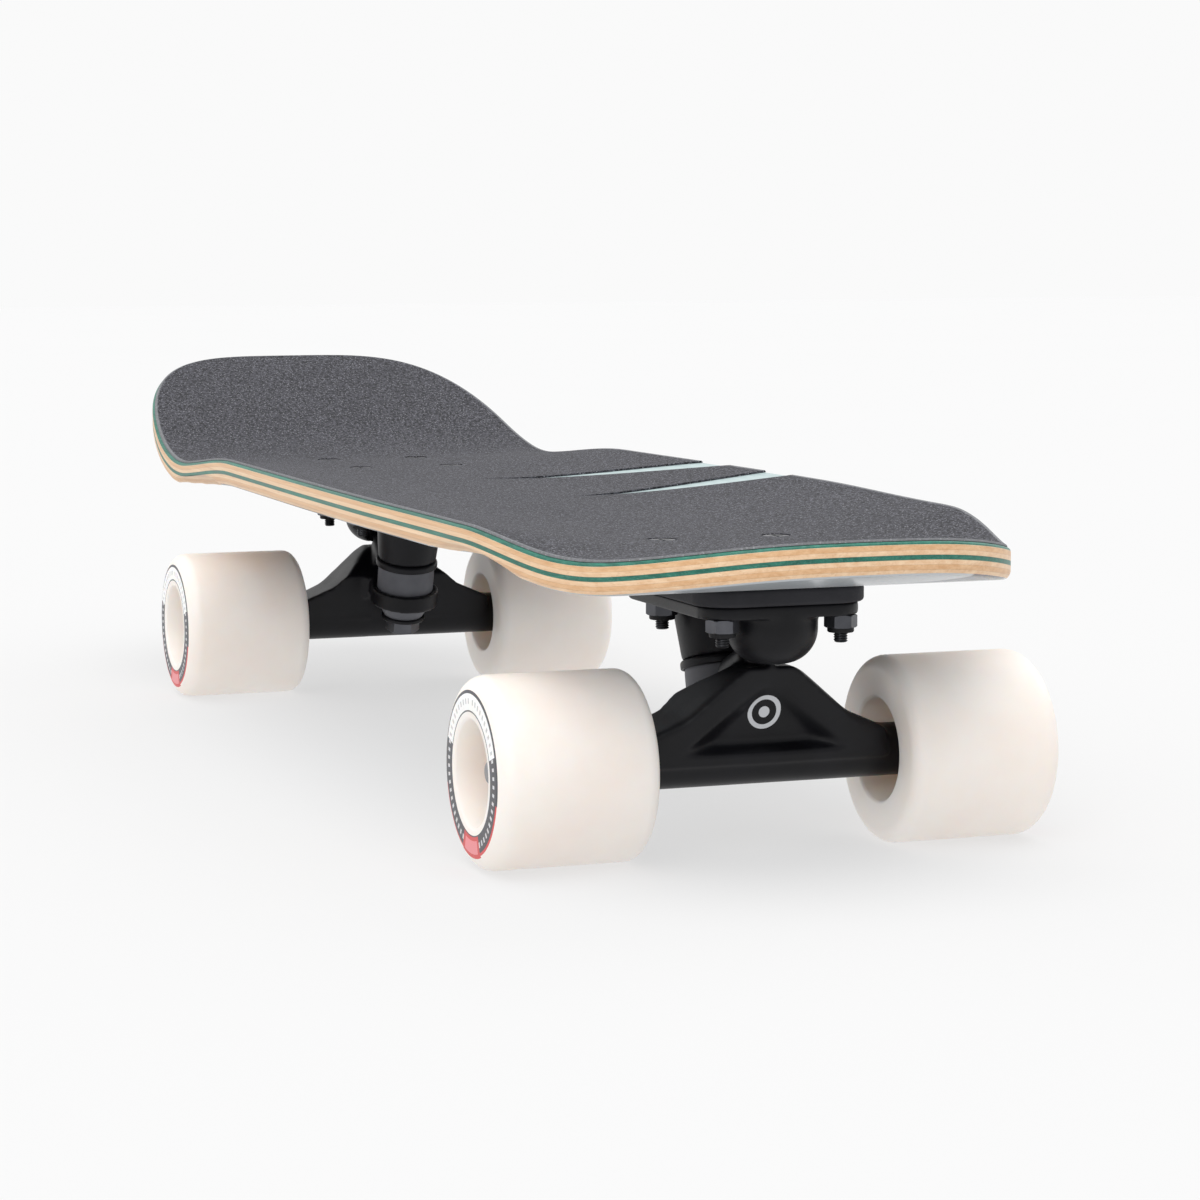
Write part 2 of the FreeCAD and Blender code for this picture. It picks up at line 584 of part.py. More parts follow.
def build_baseplate(end):
    """Flange, domed pivot boss and leaning kingpin boss, bored for the cup and the kingpin."""
    flange_body = doc.addObject("PartDesign::Body", end + "_flange")
    rounded_plate(flange_body, "flange", "0", "-plate_thickness", "plate_thickness")
    doc.recompute()
    flange = flange_body.Shape.copy()
    flange.translate(Vector(0, 0, PLATE_TOP))

    boss_x, boss_r = size("pivot_boss_x"), size("pivot_boss_radius")
    boss_low = pivot_point(size("pivot_reach")).z - size("pivot_boss_below")
    dome = Part.makeCylinder(boss_r, PLATE_TOP - size("seat_gap") - boss_low, Vector(boss_x, 0, boss_low))
    foot = [edge for edge in dome.Edges if circle_at(edge, boss_r, boss_low)]
    dome = dome.makeFillet(size("pivot_boss_round"), foot)

    king = Part.makeCone(size("king_boss_low_radius"), size("king_boss_top_radius"),
                         PLATE_TOP_ON_PIN - BOSS_LOW, Vector(0, 0, BOSS_LOW))
    king.Placement = KINGPIN_PLACE
    above = Part.makeBox(BEYOND, BEYOND, BEYOND, Vector(-BEYOND / 2, -BEYOND / 2, PLATE_TOP))
    king = king.cut(above)

    web_half = size("web_half_width")
    web = Part.makePolygon([Vector(RING_X, -web_half, PLATE_BOTTOM + 1),
                            Vector(boss_x, -web_half, PLATE_BOTTOM + 1),
                            Vector(boss_x, -web_half, PLATE_BOTTOM - size("web_shallow")),
                            Vector(RING_X, -web_half, PLATE_BOTTOM - size("web_deep")),
                            Vector(RING_X, -web_half, PLATE_BOTTOM + 1)])
    web = Part.Face(web).extrude(Vector(0, 2 * web_half, 0))
    casting = flange.fuse([dome, king, web]).removeSplitter()

    cup_radius = size("pivot_radius") + size("pivot_gap") + size("cup_wall")
    cup_start = size("neck_start") - 2
    cup_bore = Part.makeCylinder(cup_radius, size("pivot_reach") + cup_radius - cup_start,
                                 Vector(0, 0, cup_start))
    cup_bore.Placement = STEER_PLACE
    shank = Part.makeCylinder(size("kingpin_diameter") / 2 + size("seat_gap"), BEYOND)
    pocket = Part.makeCylinder(HEAD_CORNER + size("head_pocket_gap"), BEYOND,
                               Vector(0, 0, HEAD_LOW - size("seat_gap")))
    for cutter in (shank, pocket):
        cutter.Placement = KINGPIN_PLACE
    casting = casting.cut([cup_bore, shank, pocket])
    add_feature(end + "_baseplate", casting.Solids[0], truck_place(end))


def build_mounting_bolts(end):
    """Four flat-head bolts, their heads following the deck's surface."""
    head, shank = size("bolt_head_diameter") / 2, size("bolt_diameter") / 2
    bolts = []
    for x, y in bolt_places():
        place = truck_place(end).multVec(Vector(x, y, 0))
        top = GRIP_TOP + surface_height(place.x, place.y) - size("bolt_sink")
        cone = Part.makeCone(shank, head, size("bolt_head_height"),
                             Vector(place.x, place.y, top - size("bolt_head_height")))
        stem = Part.makeCylinder(shank, size("bolt_length") - size("bolt_head_height") / 2,
                                 Vector(place.x, place.y, top - size("bolt_length")))
        slots = [Part.makeBox(long, wide, size("bolt_slot_depth"),
                              Vector(place.x - long / 2, place.y - wide / 2,
                                     top - size("bolt_slot_depth")))
                 for long, wide in ((size("bolt_slot_length"), size("bolt_slot_width")),
                                    (size("bolt_slot_width"), size("bolt_slot_length")))]
        bolts.append(cone.fuse(stem).removeSplitter().cut(slots).Solids[0])
    add_feature(end + "_truck_bolts", Part.makeCompound(bolts))


def build_lock_nuts(end):
    """Four nylon-collared nuts under the baseplate."""
    body = new_body(end + "_lock_nuts", truck_place(end)
                    * Placement(Vector(0, 0, PLATE_BOTTOM - size("seat_gap")), Rotation()))
    flats = "lock_nut_flats / 2 / cos(30)"
    sketch = new_sketch(body, "XY_Plane", "hexagons")
    collars = offset_sketch(body, "collars", "-lock_nut_height")
    for along in ("-", ""):
        for wide in ("-", ""):
            across, up = along + "bolt_pitch_long / 2", wide + "bolt_pitch_wide / 2"
            add_outline(sketch, [("%s + %s * cos(%d)" % (across, flats, turn),
                                  "%s + %s * sin(%d)" % (up, flats, turn))
                                 for turn in range(0, 360, 60)])
            add_circle(sketch, across, up, "bolt_diameter / 2 + thread_gap")
            add_circle(collars, across, up, "lock_nut_collar_radius")
            add_circle(collars, across, up, "bolt_diameter / 2 + thread_gap")
    pad(body, sketch, "lock_nut_height", "nuts", reverse=True)
    pad(body, collars, "lock_nut_collar", "collar_rings", reverse=True)


# ---------------------------------------------------------------- kingpin and its stack

def build_kingpin(end):
    body = new_body(end + "_kingpin", truck_place(end) * KINGPIN_PLACE)
    low = KING_NUT_TOP - size("king_nut_height") - size("kingpin_tail")
    shank = offset_sketch(body, "shank_outline", written(low))
    add_circle(shank, "0", "0", "kingpin_diameter / 2")
    pad(body, shank, written(HEAD_LOW - low), "shank")
    head = offset_sketch(body, "head_outline", written(HEAD_LOW))
    add_hexagon(head, "kingpin_head_flats")
    pad(body, head, "kingpin_head_height", "head")


def stack_piece(end, name, outline):
    """A turned piece on the kingpin; its outline is (radius, height) pairs from the ring's centre."""
    body = new_body(end + "_" + name, truck_place(end) * KINGPIN_PLACE)
    turn_solid(body, [[(radius, written(height)) for radius, height in outline]])


def build_kingpin_stack(end):
    bore = "kingpin_diameter / 2 + bushing_gap"
    top, low = SEAT_TOP, BOARD_WASHER_LOW
    stack_piece(end, "board_bushing", [
        (bore, top), ("board_bushing_radius - 0.8", top), ("board_bushing_radius", top + 1.2),
        ("board_bushing_radius", low - 1.2), ("board_bushing_radius - 0.6", low - size("seat_gap")),
        (bore, low - size("seat_gap"))])
    stack_piece(end, "board_washer", [
        (bore, low), ("board_bushing_radius + bushing_gap / 2", low),
        ("board_bushing_radius + bushing_gap", low - size("washer_lip")),
        ("board_washer_radius", low - size("washer_lip")),
        ("board_washer_radius", low + size("washer_thickness") * 0.5),
        ("board_washer_radius - 0.7", low + size("washer_thickness")),
        (bore, low + size("washer_thickness"))])
    foot = ROAD_WASHER_TOP
    stack_piece(end, "road_bushing", [
        (bore, -top), (bore, foot + size("seat_gap")), ("road_bushing_tip - 0.6", foot + size("seat_gap")),
        ("road_bushing_tip", foot + 1.0), ("road_bushing_radius", -top - 1.8),
        ("road_bushing_radius", -top)])
    stack_piece(end, "road_washer", [
        (bore, foot), (bore, foot - size("washer_thickness")),
        ("road_washer_radius - 0.6", foot - size("washer_thickness")),
        ("road_washer_radius", foot - 0.6), ("road_washer_radius", foot)])
    nut = new_body(end + "_kingpin_nut", truck_place(end) * KINGPIN_PLACE)
    outline = offset_sketch(nut, "nut_outline", written(KING_NUT_TOP))
    add_hexagon(outline, "king_nut_flats")
    add_circle(outline, "0", "0", "kingpin_diameter / 2 + thread_gap")
    pad(nut, outline, "king_nut_height", "nut", reverse=True)


def build_pivot_cup(end):
    """A short liner with a rounded floor, pressed into the baseplate."""
    body = new_body(end + "_pivot_cup", truck_place(end) * STEER_PLACE)
    inner = "pivot_radius + pivot_gap"
    outer = "pivot_radius + pivot_gap + cup_wall - seat_gap"
    turn_solid(body, [[(inner, "pivot_reach - cup_length"), (outer, "pivot_reach - cup_length"),
                       (outer, "pivot_reach + pivot_radius + pivot_gap + cup_wall - seat_gap"),
                       ("0", "pivot_reach + pivot_radius + pivot_gap + cup_wall - seat_gap"),
                       ("0", "pivot_reach + pivot_radius + pivot_gap"),
                       (inner, "pivot_reach + pivot_radius + pivot_gap")]])


# ---------------------------------------------------------------- hanger and axle

def mirrored_outline(right_half):
    """A closed polygon in the YZ plane from its right half, listed from the bottom to the top."""
    left_half = [Vector(0, -place.y, place.z) for place in reversed(right_half)]
    outline = right_half + left_half
    return Part.Face(Part.makePolygon(outline + outline[:1]))


def hanger_web():
    """The block between the arms: its outboard outline, cut to its side view."""
    axle_x, arm = size("axle_outboard"), size("arm_radius")
    low, top = AXLE_Z - arm, AXLE_Z + size("hanger_top")
    face = mirrored_outline([
        Vector(0, size("foot_half"), low), Vector(0, size("foot_half"), AXLE_Z + arm),
        Vector(0, size("shoulder_half"), AXLE_Z + size("shoulder_height")),
        Vector(0, size("brow_half"), top - size("brow_drop")),
        Vector(0, size("hanger_top_half"), top)])
    face.translate(Vector(-BEYOND / 2, 0, 0))
    ring = Vector(RING_X, 0, RING_Z)
    down = Vector(math.sin(LEAN), 0, -math.cos(LEAN)) * size("ring_height") / 2
    outboard = Vector(math.cos(LEAN), 0, math.sin(LEAN)) * size("board_bushing_radius")
    face_x = axle_x + size("hanger_face_x")
    side = [Vector(axle_x + arm, 0, low), Vector(face_x, 0, top),
            Vector(face_x - size("hanger_top_thickness"), 0, top), ring - down + outboard,
            ring + down + outboard, Vector(axle_x - arm, 0, AXLE_Z), Vector(axle_x, 0, low)]
    side_face = Part.Face(Part.makePolygon(side + side[:1]))
    side_face.translate(Vector(0, -BEYOND / 2, 0))
    return face.extrude(Vector(BEYOND, 0, 0)).common(side_face.extrude(Vector(0, BEYOND, 0)))


def hanger_recess():
    """The triangular hollow, parallel to the tilted outboard face."""
    arm = size("arm_radius")
    low, top = AXLE_Z - arm, AXLE_Z + size("hanger_top")
    peak = Vector(0, 0, top - size("recess_border_top"))
    corner = Vector(0, size("recess_half"), AXLE_Z + size("recess_foot"))
    corners = [peak, corner, Vector(0, -corner.y, corner.z)]
    recess = Part.Face(Part.makePolygon(corners + corners[:1])).extrude(Vector(BEYOND, 0, 0))
    recess = recess.makeFillet(size("recess_corner"), [edge for edge in recess.Edges
                                                       if abs(edge.tangentAt(0).x) > 0.99])
    tilt = math.atan2(size("hanger_face_x") - arm, top - low)
    recess.rotate(Vector(0, 0, low), Vector(0, 1, 0), math.degrees(tilt))
    recess.translate(Vector(size("axle_outboard") + arm - size("recess_depth") / math.cos(tilt), 0, 0))
    return recess


def kingpin_cylinder(radius, start, length):
    cylinder = Part.makeCylinder(radius, length, Vector(0, 0, start))
    cylinder.Placement = KINGPIN_PLACE
    return cylinder


def build_hanger(end):
    """Round arms, the web between them, the kingpin ring and the pivot with its ball end."""
    axle_x, arm, half = size("axle_outboard"), size("arm_radius"), size("hanger_half_length")
    arms = Part.makeCylinder(arm, 2 * half, Vector(axle_x, -half, AXLE_Z), Vector(0, 1, 0))
    sleeves = [Part.makeCone(arm + size("arm_flare"), arm, half - size("brow_half"),
                             Vector(axle_x, side * size("brow_half"), AXLE_Z), Vector(0, side, 0))
               for side in (1, -1)]
    ring_height, seat_top = size("ring_height"), size("ring_height") / 2 - size("seat_depth")
    ring = kingpin_cylinder(size("ring_radius"), -ring_height / 2, ring_height)
    slope = Vector(math.cos(SLOPE), 0, math.sin(SLOPE))
    neck_root = pivot_point(size("neck_start"))
    neck = Part.makeCone(size("neck_root_radius"), size("neck_tip_radius"), size("neck_length"),
                         neck_root, slope)
    pin = Part.makeCylinder(size("pivot_radius"), size("pivot_reach") - size("neck_start"),
                            neck_root, slope)
    ball = Part.makeSphere(size("pivot_radius"), pivot_point(size("pivot_reach")))
    casting = arms.fuse(sleeves + [hanger_web(), ring, pin, ball, neck]).removeSplitter()

    swing = size("ring_height") / 2 + size("seat_depth")   # the washer clears the ring by this
    cutters = [
        kingpin_cylinder(size("ring_bore_radius"), -BEYOND / 2, BEYOND),
        kingpin_cylinder(size("board_bushing_radius") + size("bushing_gap"), seat_top,
                         size("board_bushing_height")),
        kingpin_cylinder(size("board_washer_radius") + size("washer_lip"), swing,
                         size("board_bushing_height")),
        kingpin_cylinder(size("road_bushing_radius") + size("bushing_gap"), -BEYOND - seat_top, BEYOND),
        kingpin_cylinder(size("road_washer_radius") + 2 * size("washer_lip"),
                         -BEYOND - ring_height / 2, BEYOND),
        Part.makeCylinder(size("axle_diameter") / 2 + size("seat_gap"), BEYOND,
                          Vector(axle_x, -BEYOND / 2, AXLE_Z), Vector(0, 1, 0)),
        hanger_recess()]
    casting = casting.cut(cutters)
    add_feature(end + "_hanger", max(casting.Solids, key=lambda solid: solid.Volume), truck_place(end))


def build_axle(end):
    """One bar through the hanger with bevelled ends; its own Z axis runs across the board."""
    across = Placement(Vector(size("axle_outboard"), 0, AXLE_Z), Rotation(Vector(1, 0, 0), -90))
    body = new_body(end + "_axle", truck_place(end) * across)
    turn_solid(body, [[("0", "-axle_half_length"), ("axle_diameter / 2 - axle_bevel", "-axle_half_length"),
                       ("axle_diameter / 2", "-axle_half_length + axle_bevel"),
                       ("axle_diameter / 2", "axle_half_length - axle_bevel"),
                       ("axle_diameter / 2 - axle_bevel", "axle_half_length"),
                       ("0", "axle_half_length")]])


# ---------------------------------------------------------------- wheels and bearings
# Each wheel's own frame has its centre at the origin and Z along the axle, away from the hanger.

BEARING_NEAR = "spacer_length / 2"
BEARING_FAR = "spacer_length / 2 + bearing_width"
BORE = "(axle_diameter / 2 + bearing_slip)"
INNER_LAND = "(axle_diameter / 2 + bearing_slip + race_wall)"
OUTER_LAND = "(bearing_radius - race_wall)"
PITCH = "(bearing_radius + axle_diameter / 2 + bearing_slip) / 2"
BALL = "((bearing_radius - axle_diameter / 2 - bearing_slip) / 2 - race_wall + track_depth)"


def both_sides(outline):
    """An outline of (radius, height) and its reflection in the wheel's middle plane."""
    return [outline, [(radius, "-(%s)" % height) for radius, height in outline]]


def build_tyre(label, place):
    body = new_body(label + "_wheel", place)
    seat = "bearing_radius + bearing_fit"
    outer_half = [("wheel_shoulder_radius", BEARING_NEAR + " - seat_gap"),
                  (seat, BEARING_NEAR + " - seat_gap"), (seat, BEARING_FAR),
                  ("wheel_recess_floor", BEARING_FAR), ("wheel_recess_radius", "wheel_width / 2"),
                  ("wheel_radius", "wheel_width / 2")]
    upper, lower = both_sides(outer_half)
    tread = turn_solid(body, [upper + lower[::-1]], "tread")
    radius, end = size("wheel_radius"), size("wheel_width") / 2
    outer = round_edges(body, tread, "wheel_outer_lip", lambda edge: circle_at(edge, radius, end),
                        "outer_lip")
    inner = round_edges(body, outer, "wheel_inner_lip", lambda edge: circle_at(edge, radius, -end),
                        "inner_lip")
    rim = size("wheel_recess_radius")
    round_edges(body, inner, "wheel_recess_rim",
                lambda edge: circle_at(edge, rim, end) or circle_at(edge, rim, -end), "recess_rims")


def build_races(label, place):
    """Outer races with their shields, and inner races, each grooved for the balls."""
    outer = new_body(label + "_outer_races", place)
    inner = new_body(label + "_inner_races", place)
    rim = INNER_LAND + " + shield_gap"
    front, back = " %s shield_inset", " %s (shield_inset + shield_thickness)"
    outer_outline = [
        ("bearing_radius", BEARING_NEAR), (OUTER_LAND, BEARING_NEAR),
        (OUTER_LAND, BEARING_NEAR + front % "+"), (rim, BEARING_NEAR + front % "+"),
        (rim, BEARING_NEAR + back % "+"), (OUTER_LAND, BEARING_NEAR + back % "+"),
        (OUTER_LAND, BEARING_FAR + back % "-"), (rim, BEARING_FAR + back % "-"),
        (rim, BEARING_FAR + front % "-"), (OUTER_LAND, BEARING_FAR + front % "-"),
        (OUTER_LAND, BEARING_FAR), ("bearing_radius", BEARING_FAR)]
    inner_outline = [(BORE, BEARING_NEAR), (INNER_LAND, BEARING_NEAR), (INNER_LAND, BEARING_FAR),
                     (BORE, BEARING_FAR)]
    for body, outline in ((outer, outer_outline), (inner, inner_outline)):
        turn_solid(body, both_sides(outline), "races")
        track = new_sketch(body, "XZ_Plane", "ball_tracks")
        for sign in ("", "-"):
            add_circle(track, PITCH, sign + "(spacer_length + bearing_width) / 2", BALL + " + ball_gap")
        groove = body.newObject("PartDesign::Groove", "ball_grooves")
        groove.Profile = track
        groove.ReferenceAxis = (track, ["V_Axis"])
        groove.Angle = 360


def build_balls(label, place):
    """Two rings of balls."""
    radius, pitch = worth(BALL), worth(PITCH)
    balls = []
    for side in (1, -1):
        height = side * (size("spacer_length") + size("bearing_width")) / 2
        for index in range(BALLS_PER_BEARING):
            turn = 2 * math.pi * index / BALLS_PER_BEARING
            balls.append(Part.makeSphere(radius, Vector(pitch * math.cos(turn),
                                                        pitch * math.sin(turn), height)))
    add_feature(label + "_bearing_balls", Part.makeCompound(balls), place)


def build_axle_pieces(label, place):
    """Spacer between the bearings, a speed ring each side of them and the axle nut."""
    bore = "axle_diameter / 2 + thread_gap * 2"
    spacer = new_body(label + "_bearing_spacer", place)
    reach = "spacer_length / 2 - seat_gap"
    turn_solid(spacer, [[(bore, "-(%s)" % reach), (BORE + " + spacer_wall", "-(%s)" % reach),
                         (BORE + " + spacer_wall", reach), (bore, reach)]])
    rings = new_body(label + "_speed_rings", place)
    low = BEARING_FAR + " + seat_gap"
    high = BEARING_FAR + " + speed_ring_thickness - seat_gap"
    rim = BORE + " + speed_ring_wall"
    turn_solid(rings, both_sides([(bore, low), (rim, low), (rim, high), (bore, high)]))
    nut = new_body(label + "_axle_nut", place)
    base = BEARING_FAR + " + speed_ring_thickness"
    outline = offset_sketch(nut, "nut_outline", base)
    add_hexagon(outline, "axle_nut_flats")
    add_circle(outline, "0", "0", "axle_diameter / 2 + thread_gap")
    pad(nut, outline, "axle_nut_height", "nut")
    collar = offset_sketch(nut, "collar_outline", base + " + axle_nut_height")
    add_circle(collar, "0", "0", "axle_nut_collar_radius")
    add_circle(collar, "0", "0", "axle_diameter / 2 + thread_gap")
    pad(nut, collar, "axle_nut_collar", "collar")


# ---------------------------------------------------------------- assembly

build_deck()
for end in ("front", "rear"):
    build_riser(end)
    build_baseplate(end)
    build_pivot_cup(end)
    build_kingpin(end)
    build_kingpin_stack(end)
    build_mounting_bolts(end)
    build_lock_nuts(end)
    build_hanger(end)
    build_axle(end)
    for side_name, side in (("left", 1), ("right", -1)):
        axle_x = truck_place(end).multVec(Vector(size("axle_outboard"), 0, 0)).x
        wheel_place = Placement(Vector(axle_x, side * WHEEL_Y, AXLE_Z),
                                Rotation(Vector(1, 0, 0), -90 * side))
        label = end + "_" + side_name
        build_tyre(label, wheel_place)
        build_races(label, wheel_place)
        build_balls(label, wheel_place)
        build_axle_pieces(label, wheel_place)

doc.recompute()

for item in doc.Objects:
    if "Invalid" in item.State or "Error" in item.State:
        raise RuntimeError("%s (%s) failed: %s" % (item.Name, item.Label, item.State))
os.makedirs("parts", exist_ok=True)
for part in subparts:
    if part.Shape.isNull() or not part.Shape.isValid() or not part.Shape.Solids:
        raise RuntimeError("%s has no valid solid" % part.Label)
for part in subparts:
    part.Shape.exportStep("parts/%s.step" % part.Label)
print("%d sub-parts" % len(subparts))
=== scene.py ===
import json
import math

import bmesh
import bpy
import numpy as np
from mathutils import Matrix, Vector


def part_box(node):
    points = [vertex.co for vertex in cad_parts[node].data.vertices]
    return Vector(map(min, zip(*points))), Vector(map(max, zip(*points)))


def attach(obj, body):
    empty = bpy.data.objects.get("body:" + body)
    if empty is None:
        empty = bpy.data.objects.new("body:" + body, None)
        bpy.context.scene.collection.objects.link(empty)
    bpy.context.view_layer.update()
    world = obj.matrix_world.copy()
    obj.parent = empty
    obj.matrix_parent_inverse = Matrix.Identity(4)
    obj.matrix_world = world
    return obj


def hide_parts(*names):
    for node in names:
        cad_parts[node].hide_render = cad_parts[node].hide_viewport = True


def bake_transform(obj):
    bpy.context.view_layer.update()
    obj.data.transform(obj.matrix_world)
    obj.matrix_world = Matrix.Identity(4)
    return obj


# A seven-ply skateboard on two kingpin trucks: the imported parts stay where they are, and the pieces
# made here give them rounded edges, threads, cast surfaces and finishes. Metres, +X to the nose.

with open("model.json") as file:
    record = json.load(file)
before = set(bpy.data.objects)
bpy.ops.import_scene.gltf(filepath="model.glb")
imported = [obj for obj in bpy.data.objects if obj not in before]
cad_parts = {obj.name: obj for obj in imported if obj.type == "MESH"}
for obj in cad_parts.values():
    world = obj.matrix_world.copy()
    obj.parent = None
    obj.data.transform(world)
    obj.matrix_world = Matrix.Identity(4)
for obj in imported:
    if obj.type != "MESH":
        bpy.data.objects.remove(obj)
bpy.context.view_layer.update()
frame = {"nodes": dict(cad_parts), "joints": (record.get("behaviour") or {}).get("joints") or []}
scene = bpy.context.scene
scene.view_settings.view_transform = "Standard"
mm = 0.001
joints = {joint["name"]: joint for joint in frame["joints"]}
ends = {"front": 1, "rear": -1}
sides = {"left": 1, "right": -1}
print("frame loaded:", len(frame["nodes"]), "nodes")


# shader maths: a Wire is one output of a node, and arithmetic on it adds Math nodes
class Wire:
    def __init__(self, recipe, socket):
        self.recipe, self.socket = recipe, socket

    def math(self, operation, *others):
        values = dict(enumerate((self,) + others))
        return self.recipe.node("Math", {"operation": operation}, values)

    def __add__(self, other):
        return self.math("ADD", other)

    def __sub__(self, other):
        return self.math("SUBTRACT", other)

    def __rsub__(self, other):
        return self.recipe.node("Math", {"operation": "SUBTRACT"}, {0: other, 1: self})

    def __mul__(self, other):
        return self.math("MULTIPLY", other)

    __radd__ = __add__
    __rmul__ = __mul__

    def above(self, level):
        return self.math("GREATER_THAN", level)

    def below(self, level):
        return self.math("LESS_THAN", level)

    def ramp(self, low, high):
        # 0 at low, 1 at high, straight between and held outside
        return self.recipe.node("MapRange", {"clamp": True},
                                {0: self, 1: low, 2: high, 3: 0.0, 4: 1.0})


class Recipe:
    def __init__(self, name, shader, owners=bpy.data.materials, shaderNode="Principled BSDF",
                 coordinates="Object"):
        self.material = owners.new(name)
        self.material.use_nodes = True
        self.tree = self.material.node_tree
        self.shader = self.tree.nodes[shaderNode]
        for socket, value in shader.items():
            self.shader.inputs[socket].default_value = value
        self.place = self.node("TexCoord", output=coordinates)

    def axis(self, name):
        return self.node("SeparateXYZ", inputs={"Vector": self.place}, output=name)

    def node(self, kind, settings=None, inputs=None, output=0):
        made = self.tree.nodes.new("ShaderNode" + kind)
        for name, value in (settings or {}).items():
            setattr(made, name, value)
        for name, value in (inputs or {}).items():
            self.put(made.inputs[name], value)
        return Wire(self, made.outputs[output])

    def put(self, socket, value):
        if isinstance(value, Wire):
            self.tree.links.new(value.socket, socket)
        else:
            socket.default_value = value

    def noise(self, scale, detail=3.0, roughness=0.5, stretch=None):
        where = self.place
        if stretch:
            where = self.node("Mapping", inputs={"Vector": where, "Scale": stretch})
        return self.node("TexNoise", {"noise_dimensions": "3D"},
                         {"Vector": where, "Scale": scale, "Detail": detail, "Roughness": roughness})

    def cells(self, scale):
        return self.node("TexVoronoi", {"feature": "F1"}, {"Vector": self.place, "Scale": scale})

    def attribute(self, name):
        return self.node("Attribute", {"attribute_name": name}, output="Fac")

    def mix(self, factor, first, second):
        return self.node("Mix", {"data_type": "RGBA", "clamp_factor": True},
                         {0: factor, 6: first, 7: second}, output=2)

    def bump(self, height, strength, distance):
        return self.node("Bump", inputs={"Height": height, "Strength": strength,
                                         "Distance": distance})

    def finish(self, colour=None, roughness=None, normal=None, metallic=None):
        for name, value in (("Base Color", colour), ("Roughness", roughness), ("Normal", normal),
                            ("Metallic", metallic)):
            if value is not None:
                self.put(self.shader.inputs[name], value)
        return self.material


def tint(red, green, blue):
    # display colour, 0 to 255, as the linear colour that shaders use
    return tuple(((value / 255 + 0.055) / 1.055) ** 2.4 if value > 10 else value / 255 / 12.92
                 for value in (red, green, blue)) + (1.0,)


# meshes from arrays of points
def gridFaces(rows, columns, wrapRows, wrapColumns):
    # one four-sided face between each row and the next, and each column and the next
    row = np.arange(rows if wrapRows else rows - 1)[:, None]
    column = np.arange(columns if wrapColumns else columns - 1)[None, :]
    nextRow, nextColumn = (row + 1) % rows, (column + 1) % columns
    corners = [row * columns + column, nextRow * columns + column,
               nextRow * columns + nextColumn, row * columns + nextColumn]
    return np.stack(np.broadcast_arrays(*corners), -1).reshape(-1, 4)


def readArray(rows, name, kind=np.float32, size=1):
    values = np.zeros(len(rows) * size, np.int32 if kind is int else kind)
    rows.foreach_get(name, values)
    return values


def makePiece(name, points, faces, values=None, sharpAngle=35):
    mesh = bpy.data.meshes.new(name)
    mesh.from_pydata(np.asarray(points).reshape(-1, 3).tolist(), [], faces.tolist())
    for label, numbers in (values or {}).items():
        layer = mesh.attributes.new(label, "FLOAT", "POINT")
        layer.data.foreach_set("value", np.asarray(numbers, np.float32).ravel())
    piece = bpy.data.objects.new(name, mesh)
    scene.collection.objects.link(piece)
    tidyMesh(piece, sharpAngle)
    return piece


def tidyMesh(piece, sharpAngle=35, merge=1e-6):
    # doubles are merged first, so that poles and seams close, and then the faces are turned outwards
    work = bmesh.new()
    work.from_mesh(piece.data)
    bmesh.ops.remove_doubles(work, verts=work.verts, dist=merge)
    bmesh.ops.dissolve_degenerate(work, edges=work.edges, dist=merge)
    bmesh.ops.recalc_face_normals(work, faces=work.faces)
    work.to_mesh(piece.data)
    work.free()
    piece.data.shade_smooth()
    piece.data.set_sharp_from_angle(angle=math.radians(sharpAngle))


def bakeModifiers(piece, sharpAngle=35):
    # replaces the mesh by what its modifiers make of it
    bpy.context.view_layer.update()
    evaluated = piece.evaluated_get(bpy.context.evaluated_depsgraph_get())
    made = bpy.data.meshes.new_from_object(evaluated)
    piece.modifiers.clear()
    piece.data = made
    made.shade_smooth()
    made.set_sharp_from_angle(angle=math.radians(sharpAngle))


def filleted(corners, steps=5):
    # a closed outline of (along, radius, rounding): each corner becomes an arc of its rounding
    points = [np.array(corner[:2], float) for corner in corners]
    outline = []
    for index, corner in enumerate(corners):
        here = points[index]
        back, ahead = points[index - 1] - here, points[(index + 1) % len(points)] - here
        backLength, aheadLength = np.linalg.norm(back), np.linalg.norm(ahead)
        rounding = corner[2] if len(corner) > 2 else 0
        if rounding <= 0 or backLength < 1e-9 or aheadLength < 1e-9:
            outline.append(here)
            continue
        back, ahead = back / backLength, ahead / aheadLength
        half = math.acos(max(-1, min(1, float(back @ ahead)))) / 2
        reach = min(rounding / math.tan(half), 0.49 * backLength, 0.49 * aheadLength)
        radius = reach * math.tan(half)
        middle = here + (back + ahead) / np.linalg.norm(back + ahead) * radius / math.sin(half)
        first, last = here + back * reach - middle, here + ahead * reach - middle
        sweep = math.pi - 2 * half
        turn = math.copysign(1, first[0] * last[1] - first[1] * last[0])
        for share in np.linspace(0, 1, steps):
            angle = turn * sweep * share
            outline.append(middle + [first[0] * math.cos(angle) - first[1] * math.sin(angle),
                                     first[0] * math.sin(angle) + first[1] * math.cos(angle)])
    return np.array(outline)


def axes(direction):
    along = Vector(direction).normalized()
    across = along.orthogonal().normalized()
    return np.array(along), np.array(across), np.array(along.cross(across))


def turned(origin, direction, profile, segments=96, shape=None):
    # each (along, radius) of the profile is carried round the axis; shape(angle, along, radius) may
    # change the radius, as a hexagon or a thread does
    along, across, up = axes(direction)
    angle = np.linspace(0, 2 * np.pi, segments, endpoint=False)
    height, radius = profile[:, :1], np.repeat(profile[:, 1:2], segments, 1)
    if shape:
        radius = shape(angle[None, :], height, radius)
    return (np.array(origin) + height[..., None] * along + radius[..., None]
            * (np.cos(angle)[None, :, None] * across + np.sin(angle)[None, :, None] * up))


